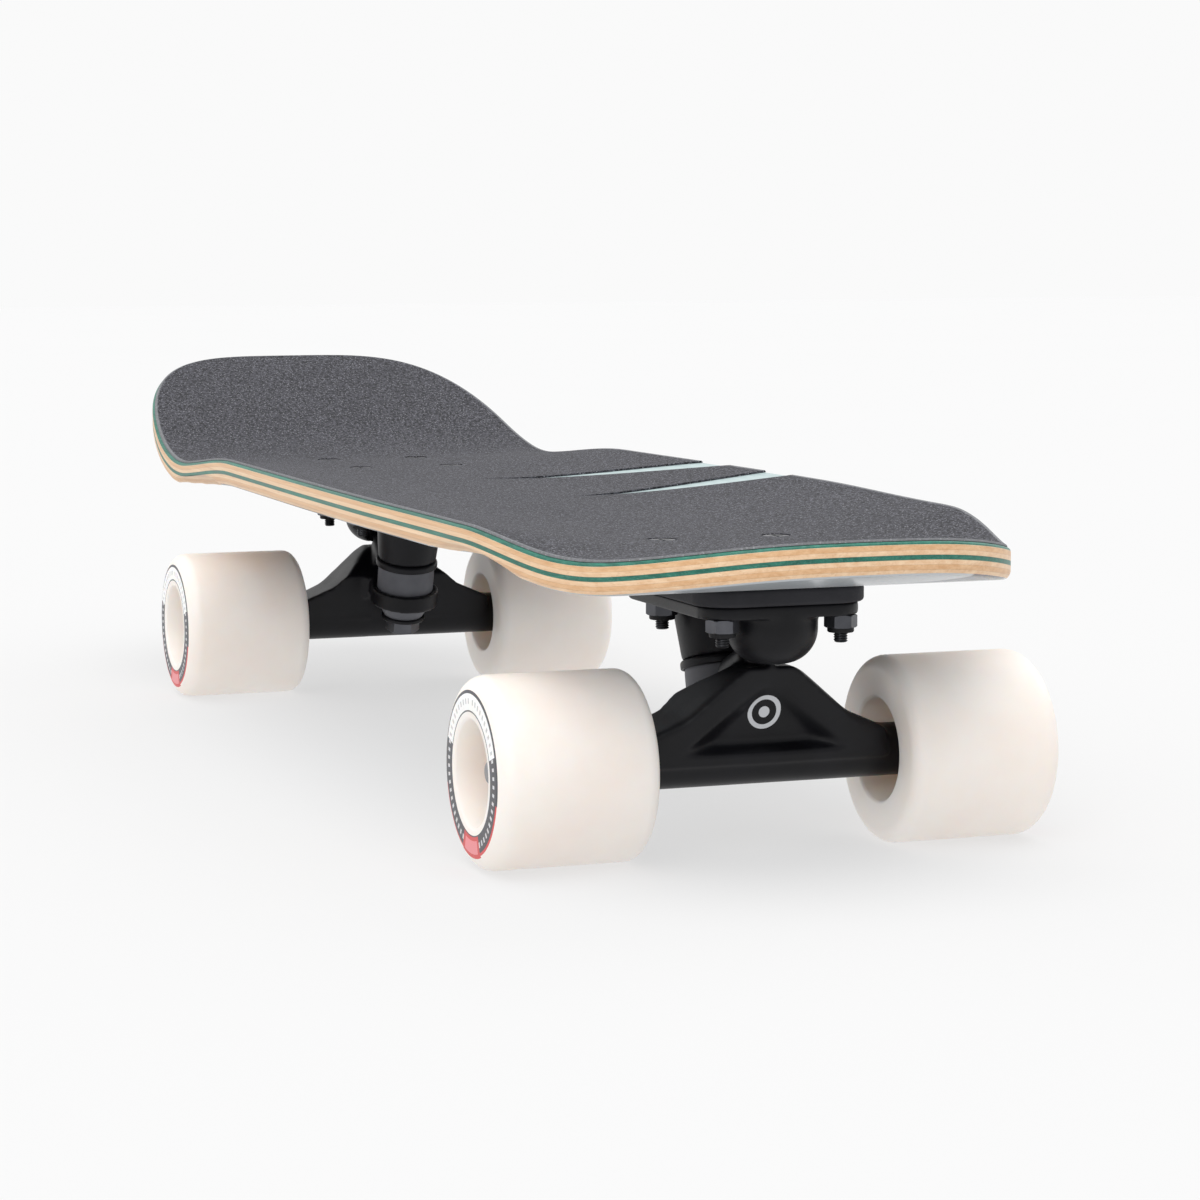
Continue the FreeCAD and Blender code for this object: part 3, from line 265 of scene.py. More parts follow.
def turnedPiece(name, origin, direction, profile, segments=96, shape=None, closed=True,
                sharpAngle=35):
    points = turned(origin, direction, profile, segments, shape)
    faces = gridFaces(len(profile), segments, closed, True)
    return makePiece(name, points, faces, sharpAngle=sharpAngle)


def joined(name, pieces):
    # several meshes as one piece
    work = bmesh.new()
    for piece in pieces:
        work.from_mesh(piece.data)
        bpy.data.objects.remove(piece)
    mesh = bpy.data.meshes.new(name)
    work.to_mesh(mesh)
    work.free()
    mesh.set_sharp_from_angle(angle=math.radians(35))
    made = bpy.data.objects.new(name, mesh)
    scene.collection.objects.link(made)
    return made


def dress(piece, body, nodes, slot, *materials):
    piece.data.materials.clear()
    for material in materials:
        piece.data.materials.append(material)
    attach(piece, body)
    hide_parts(*nodes)


# finishes
def gripFinish():
    look = Recipe("gritGrip", {"Roughness": 0.9, "Specular IOR Level": 0.35})
    fine, coarse = look.noise(760, 2.0, 0.75), look.noise(9, 3.0)
    # grit grains: their relief is a bump, and their pale colour is a painted glint off the grit's facets
    gritAndGlints = look.cells(820).below(0.23)
    base = look.mix(fine.ramp(0.42, 0.60), tint(24, 24, 28), tint(86, 86, 93))
    base = look.mix(coarse.ramp(0.3, 0.8) * 0.3, base, tint(42, 42, 47))
    base = look.mix(gritAndGlints * 0.62, base, tint(156, 156, 162))
    base = look.mix(look.attribute("edge") * 0.45, base, tint(160, 162, 164))
    return look.finish(colour=base, roughness=fine.ramp(0.2, 0.8) * 0.3 + 0.68,
                       normal=look.bump(fine + gritAndGlints * 0.6, 0.5, 0.0004))


def veneerFinish(name):
    # depth counts plies down from the top of the deck: 0 to 1 and 3 to 4 are dyed, 7 is the painted face
    look = Recipe(name, {"Specular IOR Level": 0.4, "Coat Weight": 0.12, "Coat Roughness": 0.3})
    depth = look.attribute("depth")
    grain = look.noise(55, 6.0, 0.6, stretch=(0.35, 6.0, 14.0))
    pores = look.noise(420, 3.0, 0.6, stretch=(0.16, 3.0, 5.0))
    cross = depth.math("MODULO", 2.0).above(1.0)
    light = look.mix(grain.ramp(0.3, 0.7), tint(222, 180, 138), tint(241, 211, 176))
    dark = look.mix(grain.ramp(0.3, 0.7), tint(212, 163, 116), tint(234, 195, 152))
    wood = look.mix(cross, light, dark)
    wood = look.mix(pores.ramp(0.55, 0.75) * 0.35, wood, tint(178, 124, 82))
    dye = look.mix(grain.ramp(0.3, 0.75), tint(12, 84, 70), tint(44, 128, 108))
    dye = look.mix(pores.ramp(0.5, 0.8) * 0.3, dye, tint(128, 178, 164))
    isDyed = depth.below(0.85) + depth.above(3.0) * depth.below(4.0)
    colour = look.mix(isDyed, wood, dye)
    fromJoint = depth.math("FRACT").math("PINGPONG", 0.5)
    joint = 1 - fromJoint.ramp(0.0, 0.07)
    colour = look.mix(joint * 0.3, colour, tint(120, 88, 62))
    # the top face of the top ply, bare where the grip is cut away, is coloured pale silver-teal: a
    # painted reflection of its glossy lacquer
    paintedLacquerReflection = look.mix(grain.ramp(0.3, 0.7), tint(158, 178, 178), tint(184, 200, 200))
    colour = look.mix(depth.below(0.02), colour, paintedLacquerReflection)
    return look.finish(colour=colour, roughness=grain.ramp(0.2, 0.8) * 0.18 + 0.36,
                       normal=look.bump(grain + pores * 0.4 - joint * 0.5, 0.22, 0.0004))


def undersideFinish():
    # a plain wash of drifting pale bands on blue-black paint, and a pale band towards the nose
    bandFrom, bandTo, bandSoft = 0.262, 0.318, 0.002
    look = Recipe("undersidePaint", {"Coat Weight": 0.5, "Coat Roughness": 0.18})
    drift = look.noise(4.6, 2.0, 0.4, stretch=(1.0, 2.2, 1.0))
    speck = look.noise(900, 2.0)
    along = look.axis("X")
    band = (along - bandFrom).ramp(0.0, bandSoft) * (bandTo - along).ramp(0.0, bandSoft)
    paint = look.mix(drift.ramp(0.53, 0.545), tint(22, 29, 41), tint(48, 62, 78))
    paint = look.mix(drift.ramp(0.60, 0.612), paint, tint(178, 184, 188))
    paint = look.mix(band, paint, tint(176, 181, 184))
    paint = look.mix(speck.ramp(0.62, 0.75) * 0.2, paint, tint(90, 96, 104))
    return look.finish(colour=paint, roughness=speck.ramp(0.3, 0.7) * 0.12 + 0.28,
                       normal=look.bump(speck, 0.05, 0.0002))


# printed ring on the wheels' outer faces, with a painted highlight in its red plate: rings from one
# radius to another in mm, and turns from 0 at the wheel's foot to 1 at its top
wheelPrint = {"hubLine": (19.9, 20.4), "field": (20.3, 25.8), "rimLine": (25.8, 26.9),
              "redLine": (25.8, 26.7), "tickRing": (22.4, 24.2), "redPlate": (20.3, 27.3),
              "redPlatePaintedHighlight": (21.6, 25.9), "paleFrom": 0.61, "redTo": 0.11, "paintedHighlightTo": 0.085,
              "rimSplit": 0.42, "tickCount": 27.0, "tickShare": 0.42}


def urethaneFinish():
    # cast urethane, a little cloudy and translucent, with the print on its outer face and a painted
    # highlight on the print's red plate
    look = Recipe("urethane", {"Roughness": 0.38, "Subsurface Weight": 0.55, "Subsurface Scale": 0.016,
                               "Subsurface Radius": (1.0, 0.78, 0.62), "Specular IOR Level": 0.4})
    cloud, fine = look.noise(38, 3.0), look.noise(1100, 2.0)
    body = look.mix(cloud.ramp(0.25, 0.75), tint(245, 234, 226), tint(250, 242, 236))
    radius, turn = look.attribute("printRadius"), look.attribute("printTurn")
    printed = look.attribute("printSide").above(0.9)

    def ring(name):
        low, high = wheelPrint[name]
        return radius.above(low) * radius.below(high) * printed

    ink, paper, red = tint(76, 76, 81), tint(252, 252, 250), tint(210, 74, 74)
    upper, sector = turn.above(wheelPrint["paleFrom"]), turn.below(wheelPrint["redTo"])
    steps = (turn * wheelPrint["tickCount"]).math("FRACT")
    ticks = steps.below(wheelPrint["tickShare"]) * ring("tickRing")
    colour = look.mix(ring("field") * upper, body, paper)
    colour = look.mix(ring("field") * (1 - upper), colour, ink)
    colour = look.mix(ring("rimLine") * turn.above(wheelPrint["rimSplit"]), colour, ink)
    colour = look.mix(ring("redLine") * turn.below(wheelPrint["rimSplit"]), colour, red)
    colour = look.mix(ring("hubLine"), colour, ink)
    colour = look.mix(ticks * (1 - upper) * (1 - sector), colour, tint(214, 214, 216))
    colour = look.mix(ticks * upper * 0.5, colour, tint(120, 120, 124))
    colour = look.mix(ring("redPlate") * sector, colour, red)
    # a paler pink patch in the red plate near the wheel's foot: a painted highlight
    glow = ring("redPlatePaintedHighlight") * turn.below(wheelPrint["paintedHighlightTo"]) * 0.7
    colour = look.mix(glow, colour, tint(240, 160, 166))
    return look.finish(colour=colour, roughness=fine.ramp(0.2, 0.8) * 0.12 + 0.34,
                       normal=look.bump(fine + cloud * 0.5, 0.04, 0.0003))


def coatFinish(name, low, high, roughness, bumpScale, bumpStrength, metallic=0.0, specular=0.24,
               printed=None):
    # a moulded, cast or plated surface: cloudy tone, fine texture, roughness that follows the tone
    look = Recipe(name, {"Metallic": metallic, "Specular IOR Level": specular})
    cloud, fine = look.noise(60, 3.0), look.noise(bumpScale, 3.0, 0.6)
    colour = look.mix(cloud.ramp(0.3, 0.7), low, high)
    colour = look.mix(fine.ramp(0.6, 0.85) * 0.3, colour, high)
    if printed:
        colour = look.mix(printed(look), colour, tint(205, 207, 210))
    return look.finish(colour=colour,
                       roughness=cloud.ramp(0.2, 0.8) * 0.1 + fine.ramp(0.2, 0.8) * 0.08 + roughness,
                       normal=look.bump(fine, bumpStrength, 0.0003))


grip = gripFinish()
veneer = veneerFinish("mapleAndDyedVeneer")
underside = undersideFinish()
urethane = urethaneFinish()
# plain ring and dot printed in the hollow of each hanger, in mm
badge = {"outer": 5.8, "inner": 4.3, "dot": 1.9, "height": 47.5, "frontFace": 262, "rearFace": -179}


def badgeMask(look):
    x, y, z = (look.axis(name) * 1000 for name in "XYZ")
    radius = (y * y + (z - badge["height"]) * (z - badge["height"])).math("SQRT")
    ring = radius.below(badge["outer"]) - radius.below(badge["inner"]) + radius.below(badge["dot"])
    return ring * (x.above(badge["frontFace"]) + x.below(badge["rearFace"]))


castPaint = coatFinish("satinBlackCasting", tint(13, 13, 16), tint(22, 22, 26), 0.33, 1500, 0.07)
hangerPaint = coatFinish("satinBlackHanger", tint(11, 11, 14), tint(20, 20, 24), 0.30, 1500, 0.06,
                         printed=badgeMask)
riserPlastic = coatFinish("blackRiser", tint(34, 34, 38), tint(50, 50, 54), 0.55, 1500, 0.2)
rubber = coatFinish("greyBushing", tint(84, 85, 90), tint(102, 103, 108), 0.42, 1800, 0.06)
washerSteel = coatFinish("blackWasher", tint(20, 20, 23), tint(34, 34, 37), 0.30, 2000, 0.05, 0.3)
boltSteel = coatFinish("darkZincBolt", tint(70, 71, 74), tint(108, 109, 112), 0.26, 2400, 0.06, 0.85)
nutSteel = coatFinish("darkZincNut", tint(72, 73, 77), tint(104, 105, 110), 0.28, 2400, 0.06, 0.8)
collarNylon = coatFinish("blackNylon", tint(20, 20, 22), tint(32, 32, 34), 0.5, 1400, 0.05)
bearingSteel = coatFinish("bearingSteel", tint(150, 152, 156), tint(196, 198, 202), 0.22, 3000, 0.03, 1.0)
axleSteel = coatFinish("axleSteel", tint(120, 121, 124), tint(165, 166, 170), 0.28, 3000, 0.05, 1.0)
linerPlastic = coatFinish("pivotCup", tint(30, 30, 32), tint(42, 42, 44), 0.5, 1500, 0.05)
print("finishes made")


# deck: the same moulded surface as the solid plies, with its side edge rounded over
deck = {
    "length": 695 * mm, "halfWidth": 94 * mm, "plyThickness": 1.5 * mm, "plies": 7, "grip": 0.8 * mm,
    "noseOverhang": 95 * mm, "tailOverhang": 178 * mm, "noseWaist": 3.5 * mm, "tailWaist": 6 * mm,
    "noseTaper": 136 * mm, "tailTaper": 138 * mm, "widest": 151 * mm,
    "concave": 8.5 * mm, "flat": 20 * mm, "noseBend": 16 * mm, "noseRadius": 320 * mm,
    "noseAngle": 13.5, "tailBend": 24 * mm, "tailRadius": 200 * mm, "tailAngle": 19.5,
    "noseFade": 85 * mm, "tailFade": 120 * mm, "topRound": 1.8 * mm, "footRound": 3.2 * mm,
    "wellDepth": 4.5 * mm, "wellReach": 34 * mm, "wellFrom": 0.8, "frontWell": (75 * mm, -28.8 * mm),
    "rearWell": (90 * mm, 0.7 * mm), "stations": 220, "columns": 56, "gapBelow": 0.02 * mm,
    "noseCurve": (1.6, 2.9), "tailCurve": (2.5, 3.8), "concavePower": 1.6, "noseLead": 0.45,
    "tailLead": 0.25, "topShare": 0.9, "footShare": 0.8, "painted": 0.42,
}
noseTip = deck["length"] / 2
frontX, rearX = noseTip - deck["noseOverhang"], -noseTip + deck["tailOverhang"]
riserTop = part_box("front_riser_pad")[1].z
deckBottom = riserTop + deck["gapBelow"]
deckTop = deckBottom + deck["plies"] * deck["plyThickness"]
axleX = {end: (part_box(end + "_axle")[0].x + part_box(end + "_axle")[1].x) / 2 for end in ends}


def smoothStep(share):
    share = np.clip(share, 0, 1)
    return share * share * (3 - 2 * share)


def kick(distance, radius, angle):
    # an arc of the radius up to the angle, then a straight slope
    slope = math.radians(angle)
    run = radius * math.sin(slope)
    arc = radius - np.sqrt(radius ** 2 - np.clip(distance, 0, run) ** 2)
    return arc + np.maximum(distance - run, 0) * math.tan(slope)


def surfaceHeight(x, y):
    # concave sides that fade out towards both kicks, plus the kicks themselves
    noseStart, tailStart = frontX + deck["noseBend"], rearX - deck["tailBend"]
    noseLead, tailLead = deck["noseFade"] * deck["noseLead"], deck["tailFade"] * deck["tailLead"]
    fade = (smoothStep((noseStart + noseLead - x) / deck["noseFade"])
            * smoothStep((x - tailStart + tailLead) / deck["tailFade"]))
    rise = np.maximum(np.abs(y) - deck["flat"], 0) / (deck["halfWidth"] - deck["flat"])
    return (deck["concave"] * rise ** deck["concavePower"] * fade
            + kick(x - noseStart, deck["noseRadius"], deck["noseAngle"])
            + kick(tailStart - x, deck["tailRadius"], deck["tailAngle"]))


def halfWidth(x):
    # sides that narrow smoothly from the widest place to both waists, times a rounded closing curve
    # (1 - share ** a) ** (1 / b) over the length of each taper
    widest = frontX - deck["widest"]
    front = smoothStep((x - widest) / (noseTip - deck["noseTaper"] - widest)) * deck["noseWaist"]
    rear = smoothStep((widest - x) / (widest + noseTip - deck["tailTaper"])) * deck["tailWaist"]
    nose = np.clip((x - noseTip + deck["noseTaper"]) / deck["noseTaper"], 0, 1)
    tail = np.clip((-x - noseTip + deck["tailTaper"]) / deck["tailTaper"], 0, 1)
    side = deck["halfWidth"] - np.where(x > widest, front, rear)
    (noseStart, noseEnd), (tailStart, tailEnd) = deck["noseCurve"], deck["tailCurve"]
    return side * (1 - nose ** noseStart) ** (1 / noseEnd) * (1 - tail ** tailStart) ** (1 / tailEnd)


def deckPlan():
    # half outline from tail to nose, closer together at the tips, and its outward normals
    turn = np.linspace(0, math.pi, deck["stations"] + 1)
    x = -noseTip * np.cos(turn)
    y = halfWidth(x)
    slopeX, slopeY = np.gradient(x, turn), np.gradient(y, turn)
    length = np.hypot(slopeX, slopeY)
    normal = np.stack([-slopeY / length, slopeX / length], 1)
    normal[0], normal[-1] = (-1, 0), (1, 0)
    return np.stack([x, y], 1), normal


def edgeInset(depth):
    # how far the side edge stands in from the deck's plan at a depth below the top
    total = deck["plies"] * deck["plyThickness"]
    top, foot = deck["topRound"], deck["footRound"]
    upper = np.clip(1 - depth / top, 0, 1)
    lower = np.clip(1 - (total - depth) / foot, 0, 1)
    return (top * (1 - np.sqrt(1 - upper ** 2)) * deck["topShare"]
            + foot * (1 - np.sqrt(1 - lower ** 2)) * deck["footShare"])


def wellCut(x, y, bottom):
    # the underside raised where a round cutter passes: the cutter's own height over each point
    raised = bottom
    for end, inward in (("front", deck["frontWell"]), ("rear", deck["rearWell"])):
        length, shift = inward
        middle = axleX[end] + shift
        stations = np.array([middle - length / 2, middle + length / 2])
        edge = halfWidth(stations)
        low, high = deckBottom + surfaceHeight(stations, edge)
        chord = math.hypot(length, high - low)
        radius = (chord ** 2 / 4 + deck["wellDepth"] ** 2) / (2 * deck["wellDepth"])
        edgeY, innerY = edge.mean(), edge.mean() - deck["wellReach"]
        edgeZ = (low + high) / 2 + deck["wellDepth"]
        innerZ = deckBottom + surfaceHeight(np.array(middle), np.array(innerY))
        ridge = innerZ + (edgeZ - innerZ) * (np.abs(y) - innerY) / (edgeY - innerY)
        lean = (high - low) / length
        offset = np.clip((x - middle) / radius, -1, 1)
        cutter = ridge + radius * (np.sqrt(1 - offset ** 2) - 1) + lean * (x - middle)
        cutter = np.where(np.abs(y) > innerY * deck["wellFrom"], cutter, bottom)
        raised = np.maximum(raised, cutter)
    return raised


def deckLayer(name, upper, lower, sideRows, bottomWells=False):
    # one closed shell from depth upper to depth lower: a loop of top row, side, bottom row and side
    # at every station, where a station's row runs straight across between the two side edges
    plan, normal = deckPlan()
    share = np.sin(np.linspace(-1, 1, deck["columns"] + 1) * math.pi / 2)
    sideDepth = np.linspace(upper, lower, sideRows + 1)
    rows = [(share, np.full_like(share, upper)), (np.full(sideRows - 1, 1.0), sideDepth[1:-1]),
            (share[::-1], np.full_like(share, lower)),
            (np.full(sideRows - 1, -1.0), sideDepth[-2:0:-1])]
    across = np.concatenate([row[0] for row in rows])[None, :]
    depth = np.concatenate([row[1] for row in rows])[None, :]
    inset = edgeInset(depth)
    x = plan[:, :1] - normal[:, :1] * inset
    y = across * np.maximum(plan[:, 1:] - normal[:, 1:] * inset, 0)
    rise = surfaceHeight(x, y)
    z = deckTop + rise - depth
    if bottomWells:
        bottom = wellCut(x, y, deckBottom + rise)
        top = deckTop + rise - upper
        span = (depth - upper) / (lower - upper)
        z = np.where(bottom > deckBottom + rise, top + (bottom - top) * span, z)
    actual = (deckTop + rise - z) / deck["plyThickness"]
    points = np.stack([x, y, z], -1)
    faces = gridFaces(points.shape[0], points.shape[1], False, True)
    return makePiece(name, points, faces, {"depth": actual})


def paintUnderside(mesh):
    # the lowest part of the edge and the faces at full depth take the second material
    depths = readArray(mesh.attributes["depth"].data, "value")
    corners = readArray(mesh.loops, "vertex_index", int)
    starts = readArray(mesh.polygons, "loop_start", int)
    shallowest = np.minimum.reduceat(depths[corners], starts)
    lookingDown = readArray(mesh.polygons, "normal", size=3).reshape(-1, 3)[:, 2] < 0.1
    painted = (shallowest > deck["plies"] - deck["painted"]) & lookingDown
    mesh.polygons.foreach_set("material_index", painted.astype(np.int32))


ply = deck["plyThickness"]
seam = 0.004 * mm
layers = [("deck_top_ply", 0, 1, 6, "top_teal_ply", "dyed_veneer"),
          ("deck_upper_core", 1, 3, 10, "upper_core_plies", "maple_veneer"),
          ("deck_middle_ply", 3, 4, 5, "middle_green_ply", "dyed_veneer"),
          ("deck_lower_core", 4, 7, 18, "lower_core_plies", "maple_veneer")]
for name, first, last, rows, node, slot in layers:
    wells = last == deck["plies"]
    piece = deckLayer(name, first * ply + seam, last * ply, rows, wells)
    dress(piece, "board", [node], slot, veneer, underside)
    if wells:
        paintUnderside(piece.data)
print("deck made")


# grip sheet with its bolt holes and two plain tapered slashes
gripCut = {"border": 1.1 * mm, "holeRadius": 5.1 * mm, "slashWidth": 30 * mm, "farBow": 0.72,
           "slashes": [(82, 162, 8, 16), (32, 60, 14, 12)], "boltAlong": 53.8 * mm,
           "boltAcross": 41.3 * mm, "columns": 72, "feather": 0.35 * mm, "lift": 0.03 * mm,
           "worn": 0.8 * mm, "overrun": 12 * mm, "cutter": (0.05, 0.2), "holeSides": 40}


def boltPlaces(end):
    centre = frontX if end == "front" else rearX
    return [(centre + along * gripCut["boltAlong"] / 2, wide * gripCut["boltAcross"] / 2)
            for along in (-1, 1) for wide in (-1, 1)]


def arcThrough(start, middle, end, count=24):
    # points along the circle through three points of the plan
    a, b, c = (np.array(point, float) for point in (start, middle, end))
    system = 2 * np.array([b - a, c - a])
    centre = np.linalg.solve(system, [b @ b - a @ a, c @ c - a @ a])
    angles = [math.atan2(*(point - centre)[::-1]) for point in (a, b, c)]
    angles = np.unwrap(angles)
    turn = np.interp(np.linspace(0, 2, count), [0, 1, 2], angles)
    return centre + np.linalg.norm(a - centre) * np.stack([np.cos(turn), np.sin(turn)], 1)


def slashOutline(mouth, tip, acrossTip, bow):
    # two arcs that start a slash's width apart beyond the deck's edge and meet in a point
    widest = frontX - deck["widest"]
    mouthX, tipPoint = widest - mouth * mm, np.array([widest - tip * mm, acrossTip * mm])
    edge = halfWidth(np.array(mouthX)) + gripCut["overrun"]
    near = np.array([mouthX - gripCut["slashWidth"] / 2, edge])
    far = np.array([mouthX + gripCut["slashWidth"] / 2, edge])
    curves = []
    for start, sag in ((near, bow * mm), (far, bow * mm * gripCut["farBow"])):
        chord = tipPoint - start
        out = np.array([chord[1], -chord[0]]) / np.linalg.norm(chord)
        curves.append(arcThrough(start, (start + tipPoint) / 2 + out * sag, tipPoint))
    return np.concatenate([curves[0], curves[1][-2::-1]])


def prism(outline, low, high):
    # an upright block over a plan outline, its two flat ends each one face
    count = len(outline)
    points = [np.column_stack([outline, np.full(count, z)]) for z in (low, high)]
    mesh = bpy.data.meshes.new("cutter")
    walls = gridFaces(2, count, False, True).tolist()
    mesh.from_pydata(np.concatenate(points).tolist(), [],
                     walls + [list(range(count)), list(range(count, 2 * count))])
    made = bpy.data.objects.new("cutter", mesh)
    scene.collection.objects.link(made)
    tidyMesh(made, merge=1e-7)
    return made


def cutAway(piece, cutters, sharpAngle=35):
    tool = joined("cutters", cutters)
    boolean = piece.modifiers.new("cuts", "BOOLEAN")
    boolean.operation, boolean.solver, boolean.object = "DIFFERENCE", "EXACT", tool
    bakeModifiers(piece, sharpAngle)
    bpy.data.objects.remove(tool)


def gripSheet():
    # a thin shell over the deck, drawn in from the edge, its rim feathered where it was filed
    plan, normal = deckPlan()
    share = np.sin(np.linspace(-1, 1, gripCut["columns"] + 1) * math.pi / 2)
    thickness = deck["grip"]
    loops = [(share, np.full_like(share, thickness)), ([1.0], [thickness * 0.5]),
             (share[::-1], np.zeros_like(share)), ([-1.0], [thickness * 0.5])]
    across = np.concatenate([loop[0] for loop in loops])[None, :]
    lift = np.concatenate([loop[1] for loop in loops])[None, :]
    inset = gripCut["border"] + gripCut["feather"] * (lift / thickness) ** 2
    x = plan[:, :1] - normal[:, :1] * inset
    limit = np.maximum(plan[:, 1:] - normal[:, 1:] * inset, 0)
    y = across * limit
    z = deckTop + surfaceHeight(x, y) + lift + gripCut["lift"]
    fromRim = np.minimum(limit - np.abs(y), noseTip - np.abs(x))
    points = np.stack([x, y, z], -1)
    faces = gridFaces(points.shape[0], points.shape[1], False, True)
    return makePiece("grip_sheet", points, faces, {"edge": fromRim < gripCut["worn"]})


circle = np.linspace(0, 2 * np.pi, gripCut["holeSides"], endpoint=False)
hole = gripCut["holeRadius"] * np.stack([np.cos(circle), np.sin(circle)], 1)
gripPiece = gripSheet()
holes = [prism(np.array(place) + hole, *gripCut["cutter"]) for end in ends for place in boltPlaces(end)]
slashes = [prism(slashOutline(*slash), *gripCut["cutter"]) for slash in gripCut["slashes"]]
cutAway(gripPiece, holes + slashes)
dress(gripPiece, "board", ["grip_tape"], "grip", grip)
print("grip made")


# wheels
wheel = {"outerLip": 6.3 * mm, "innerLip": 4.7 * mm, "recess": 17.5 * mm, "seat": 14.5 * mm,
         "rim": 1.2 * mm, "bearing": 11.01 * mm, "shoulder": 9.4 * mm, "spacer": 5 * mm,
         "bearingWidth": 7 * mm, "seatRound": 0.5 * mm, "arcSteps": 12, "segments": 144}


def wheelPiece(end, side):
    # half a section, from the outer lip down through the recess and both bearing seats to the inner
    # lip, carried round the axle
    name = "%s_%s_wheel" % (end, side)
    low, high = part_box(name)
    centre, out = (low + high) / 2, sides[side]
    half, radius = (high.y - low.y) / 2, (high.z - low.z) / 2
    far = wheel["spacer"] + wheel["bearingWidth"]
    spacer, bearing, shoulder = wheel["spacer"], wheel["bearing"], wheel["shoulder"]
    corners = [(half, radius, wheel["outerLip"]), (half, wheel["recess"], wheel["rim"]),
               (far, wheel["seat"], wheel["seatRound"]), (far, bearing, 0), (spacer, bearing, 0),
               (spacer, shoulder, 0), (-spacer, shoulder, 0), (-spacer, bearing, 0), (-far, bearing, 0),
               (-far, wheel["seat"], wheel["seatRound"]), (-half, wheel["recess"], wheel["rim"]),
               (-half, radius, wheel["innerLip"])]
    profile = np.concatenate([filleted(corners, wheel["arcSteps"]), [[0.0, radius]]])
    points = turned(centre, (0, out, 0), profile, wheel["segments"])
    offset = points - np.array(centre)
    turn = np.abs(np.arctan2(offset[..., 0], -offset[..., 2])) / math.pi
    radius = np.hypot(offset[..., 0], offset[..., 2]) / mm
    outerHalf = np.broadcast_to(profile[:, :1] > 0, radius.shape)
    faces = gridFaces(len(profile), wheel["segments"], True, True)
    return makePiece(name + "_tyre", points, faces,
                     {"printTurn": turn, "printRadius": radius, "printSide": outerHalf}, 40)


for end in ends:
    for side in sides:
        tyre = wheelPiece(end, side)
        dress(tyre, "%s_%s_wheel_set" % (end, side), ["%s_%s_wheel" % (end, side)], "wheel_urethane",
              urethane)
print("wheels made")


# hexagons and threads
def hexagon(flats, chamfer, length):
    # radius of a hexagon at each angle, cut back to a cone near both of its ends
    corner = flats / 2 / math.cos(math.pi / 6)

    def shape(angle, along, radius):
        sector = (angle + math.pi / 6) % (math.pi / 3) - math.pi / 6
        flat = flats / 2 / np.cos(sector)
        fromEnd = np.minimum(along, length - along)
        cone = corner - chamfer + np.clip(fromEnd, 0, chamfer) * 1.7
        return np.where(radius > flats * 0.47, np.minimum(flat, cone), radius)
    return shape


def nutMesh(name, origin, direction, nut):
    # the hexagon's skin goes up the outside and comes back down the bore
    height, bore, chamfer = nut["height"], nut["bore"], nut["chamfer"]
    mouth, mouthDepth = bore + 0.25 * mm, 0.4 * mm
    rise = np.concatenate([np.linspace(0, chamfer, 4), np.linspace(chamfer, height - chamfer, 3)[1:],
                           np.linspace(height - chamfer, height, 4)[1:]])
    outer = np.stack([rise, np.full(len(rise), nut["flats"])], 1)
    inner = np.array([[height, mouth], [height - mouthDepth, bore], [mouthDepth, bore], [0, mouth]])
    return turnedPiece(name, origin, direction, np.concatenate([outer, inner]), 72,
                       hexagon(nut["flats"], nut["chamfer"], height), sharpAngle=28)


def collarMesh(name, origin, direction, radius, bore, height):
    # a plain ring with its far edge rounded
    corners = [(0, bore, 0), (0, radius, 0), (height, radius, 0.5 * mm), (height, bore, 0.2 * mm)]
    return turnedPiece(name, origin, direction, filleted(corners), 48)


def threaded(name, origin, direction, bolt):
    # a shank whose last stretch carries a triangular thread: radius rises and falls once per pitch
    # along the axis and once per turn round it
    pitch, depth, length = bolt["pitch"], bolt["threadDepth"], bolt["threadLength"]
    rows = np.arange(0, length, pitch / 6)
    profile = np.concatenate([[[0, 0], [0, bolt["radius"] * 0.72]],
                              np.stack([rows + 0.3 * mm, np.full(len(rows), bolt["radius"])], 1),
                              [[length + pitch, bolt["radius"]], [bolt["length"], bolt["radius"]],
                               [bolt["length"], 0]]])

    def shape(angle, along, radius):
        wave = np.abs((along / pitch - angle / (2 * math.pi)) % 1 * 2 - 1)
        taper = smoothStep((length - along) / (2 * pitch)) * (radius > bolt["radius"] * 0.9)
        return radius - depth * wave * taper
    return turnedPiece(name, origin, direction, profile, 30, shape, closed=False, sharpAngle=50)


# truck bolts and their nuts
truckBolt = {"radius": 2.35 * mm, "pitch": 0.8 * mm, "threadDepth": 0.42 * mm,
             "threadLength": 14 * mm, "head": 4.8 * mm, "headHeight": 2.0 * mm, "rim": 0.35 * mm,
             "bevelDepth": 0.12 * mm, "bevelWidth": 0.25 * mm, "proud": 0.6 * mm,
             "overlap": 0.1 * mm, "slotLength": 5.2 * mm, "slotWidth": 1.15 * mm,
             "slotDepth": 1.6 * mm}
lockNut = {"flats": 9.5 * mm, "height": 4.2 * mm, "chamfer": 0.5 * mm, "bore": 2.42 * mm,
           "collar": 4.37 * mm, "collarBore": 2.47 * mm, "collarHeight": 1.6 * mm}


def headMesh(place, top):
    # flat head: a cone up from the shank, a thin rim, a bevelled flat top and a cross slot
    height, wide = truckBolt["headHeight"], truckBolt["head"]
    corners = np.array([[0, 0], [0, truckBolt["radius"]], [height - truckBolt["rim"], wide],
                        [height - truckBolt["bevelDepth"], wide],
                        [height, wide - truckBolt["bevelWidth"]], [height, 0]])
    origin = (place[0], place[1], top - height)
    head = turnedPiece("head", origin, (0, 0, 1), corners, 48, closed=False, sharpAngle=28)
    reach, half = truckBolt["slotLength"] / 2, truckBolt["slotWidth"] / 2
    for size in ((reach, half), (half, reach)):
        box = np.array(place) + np.array(size) * [[-1, -1], [1, -1], [1, 1], [-1, 1]]
        cutAway(head, [prism(box, top - truckBolt["slotDepth"], top + mm)], 28)
    return head


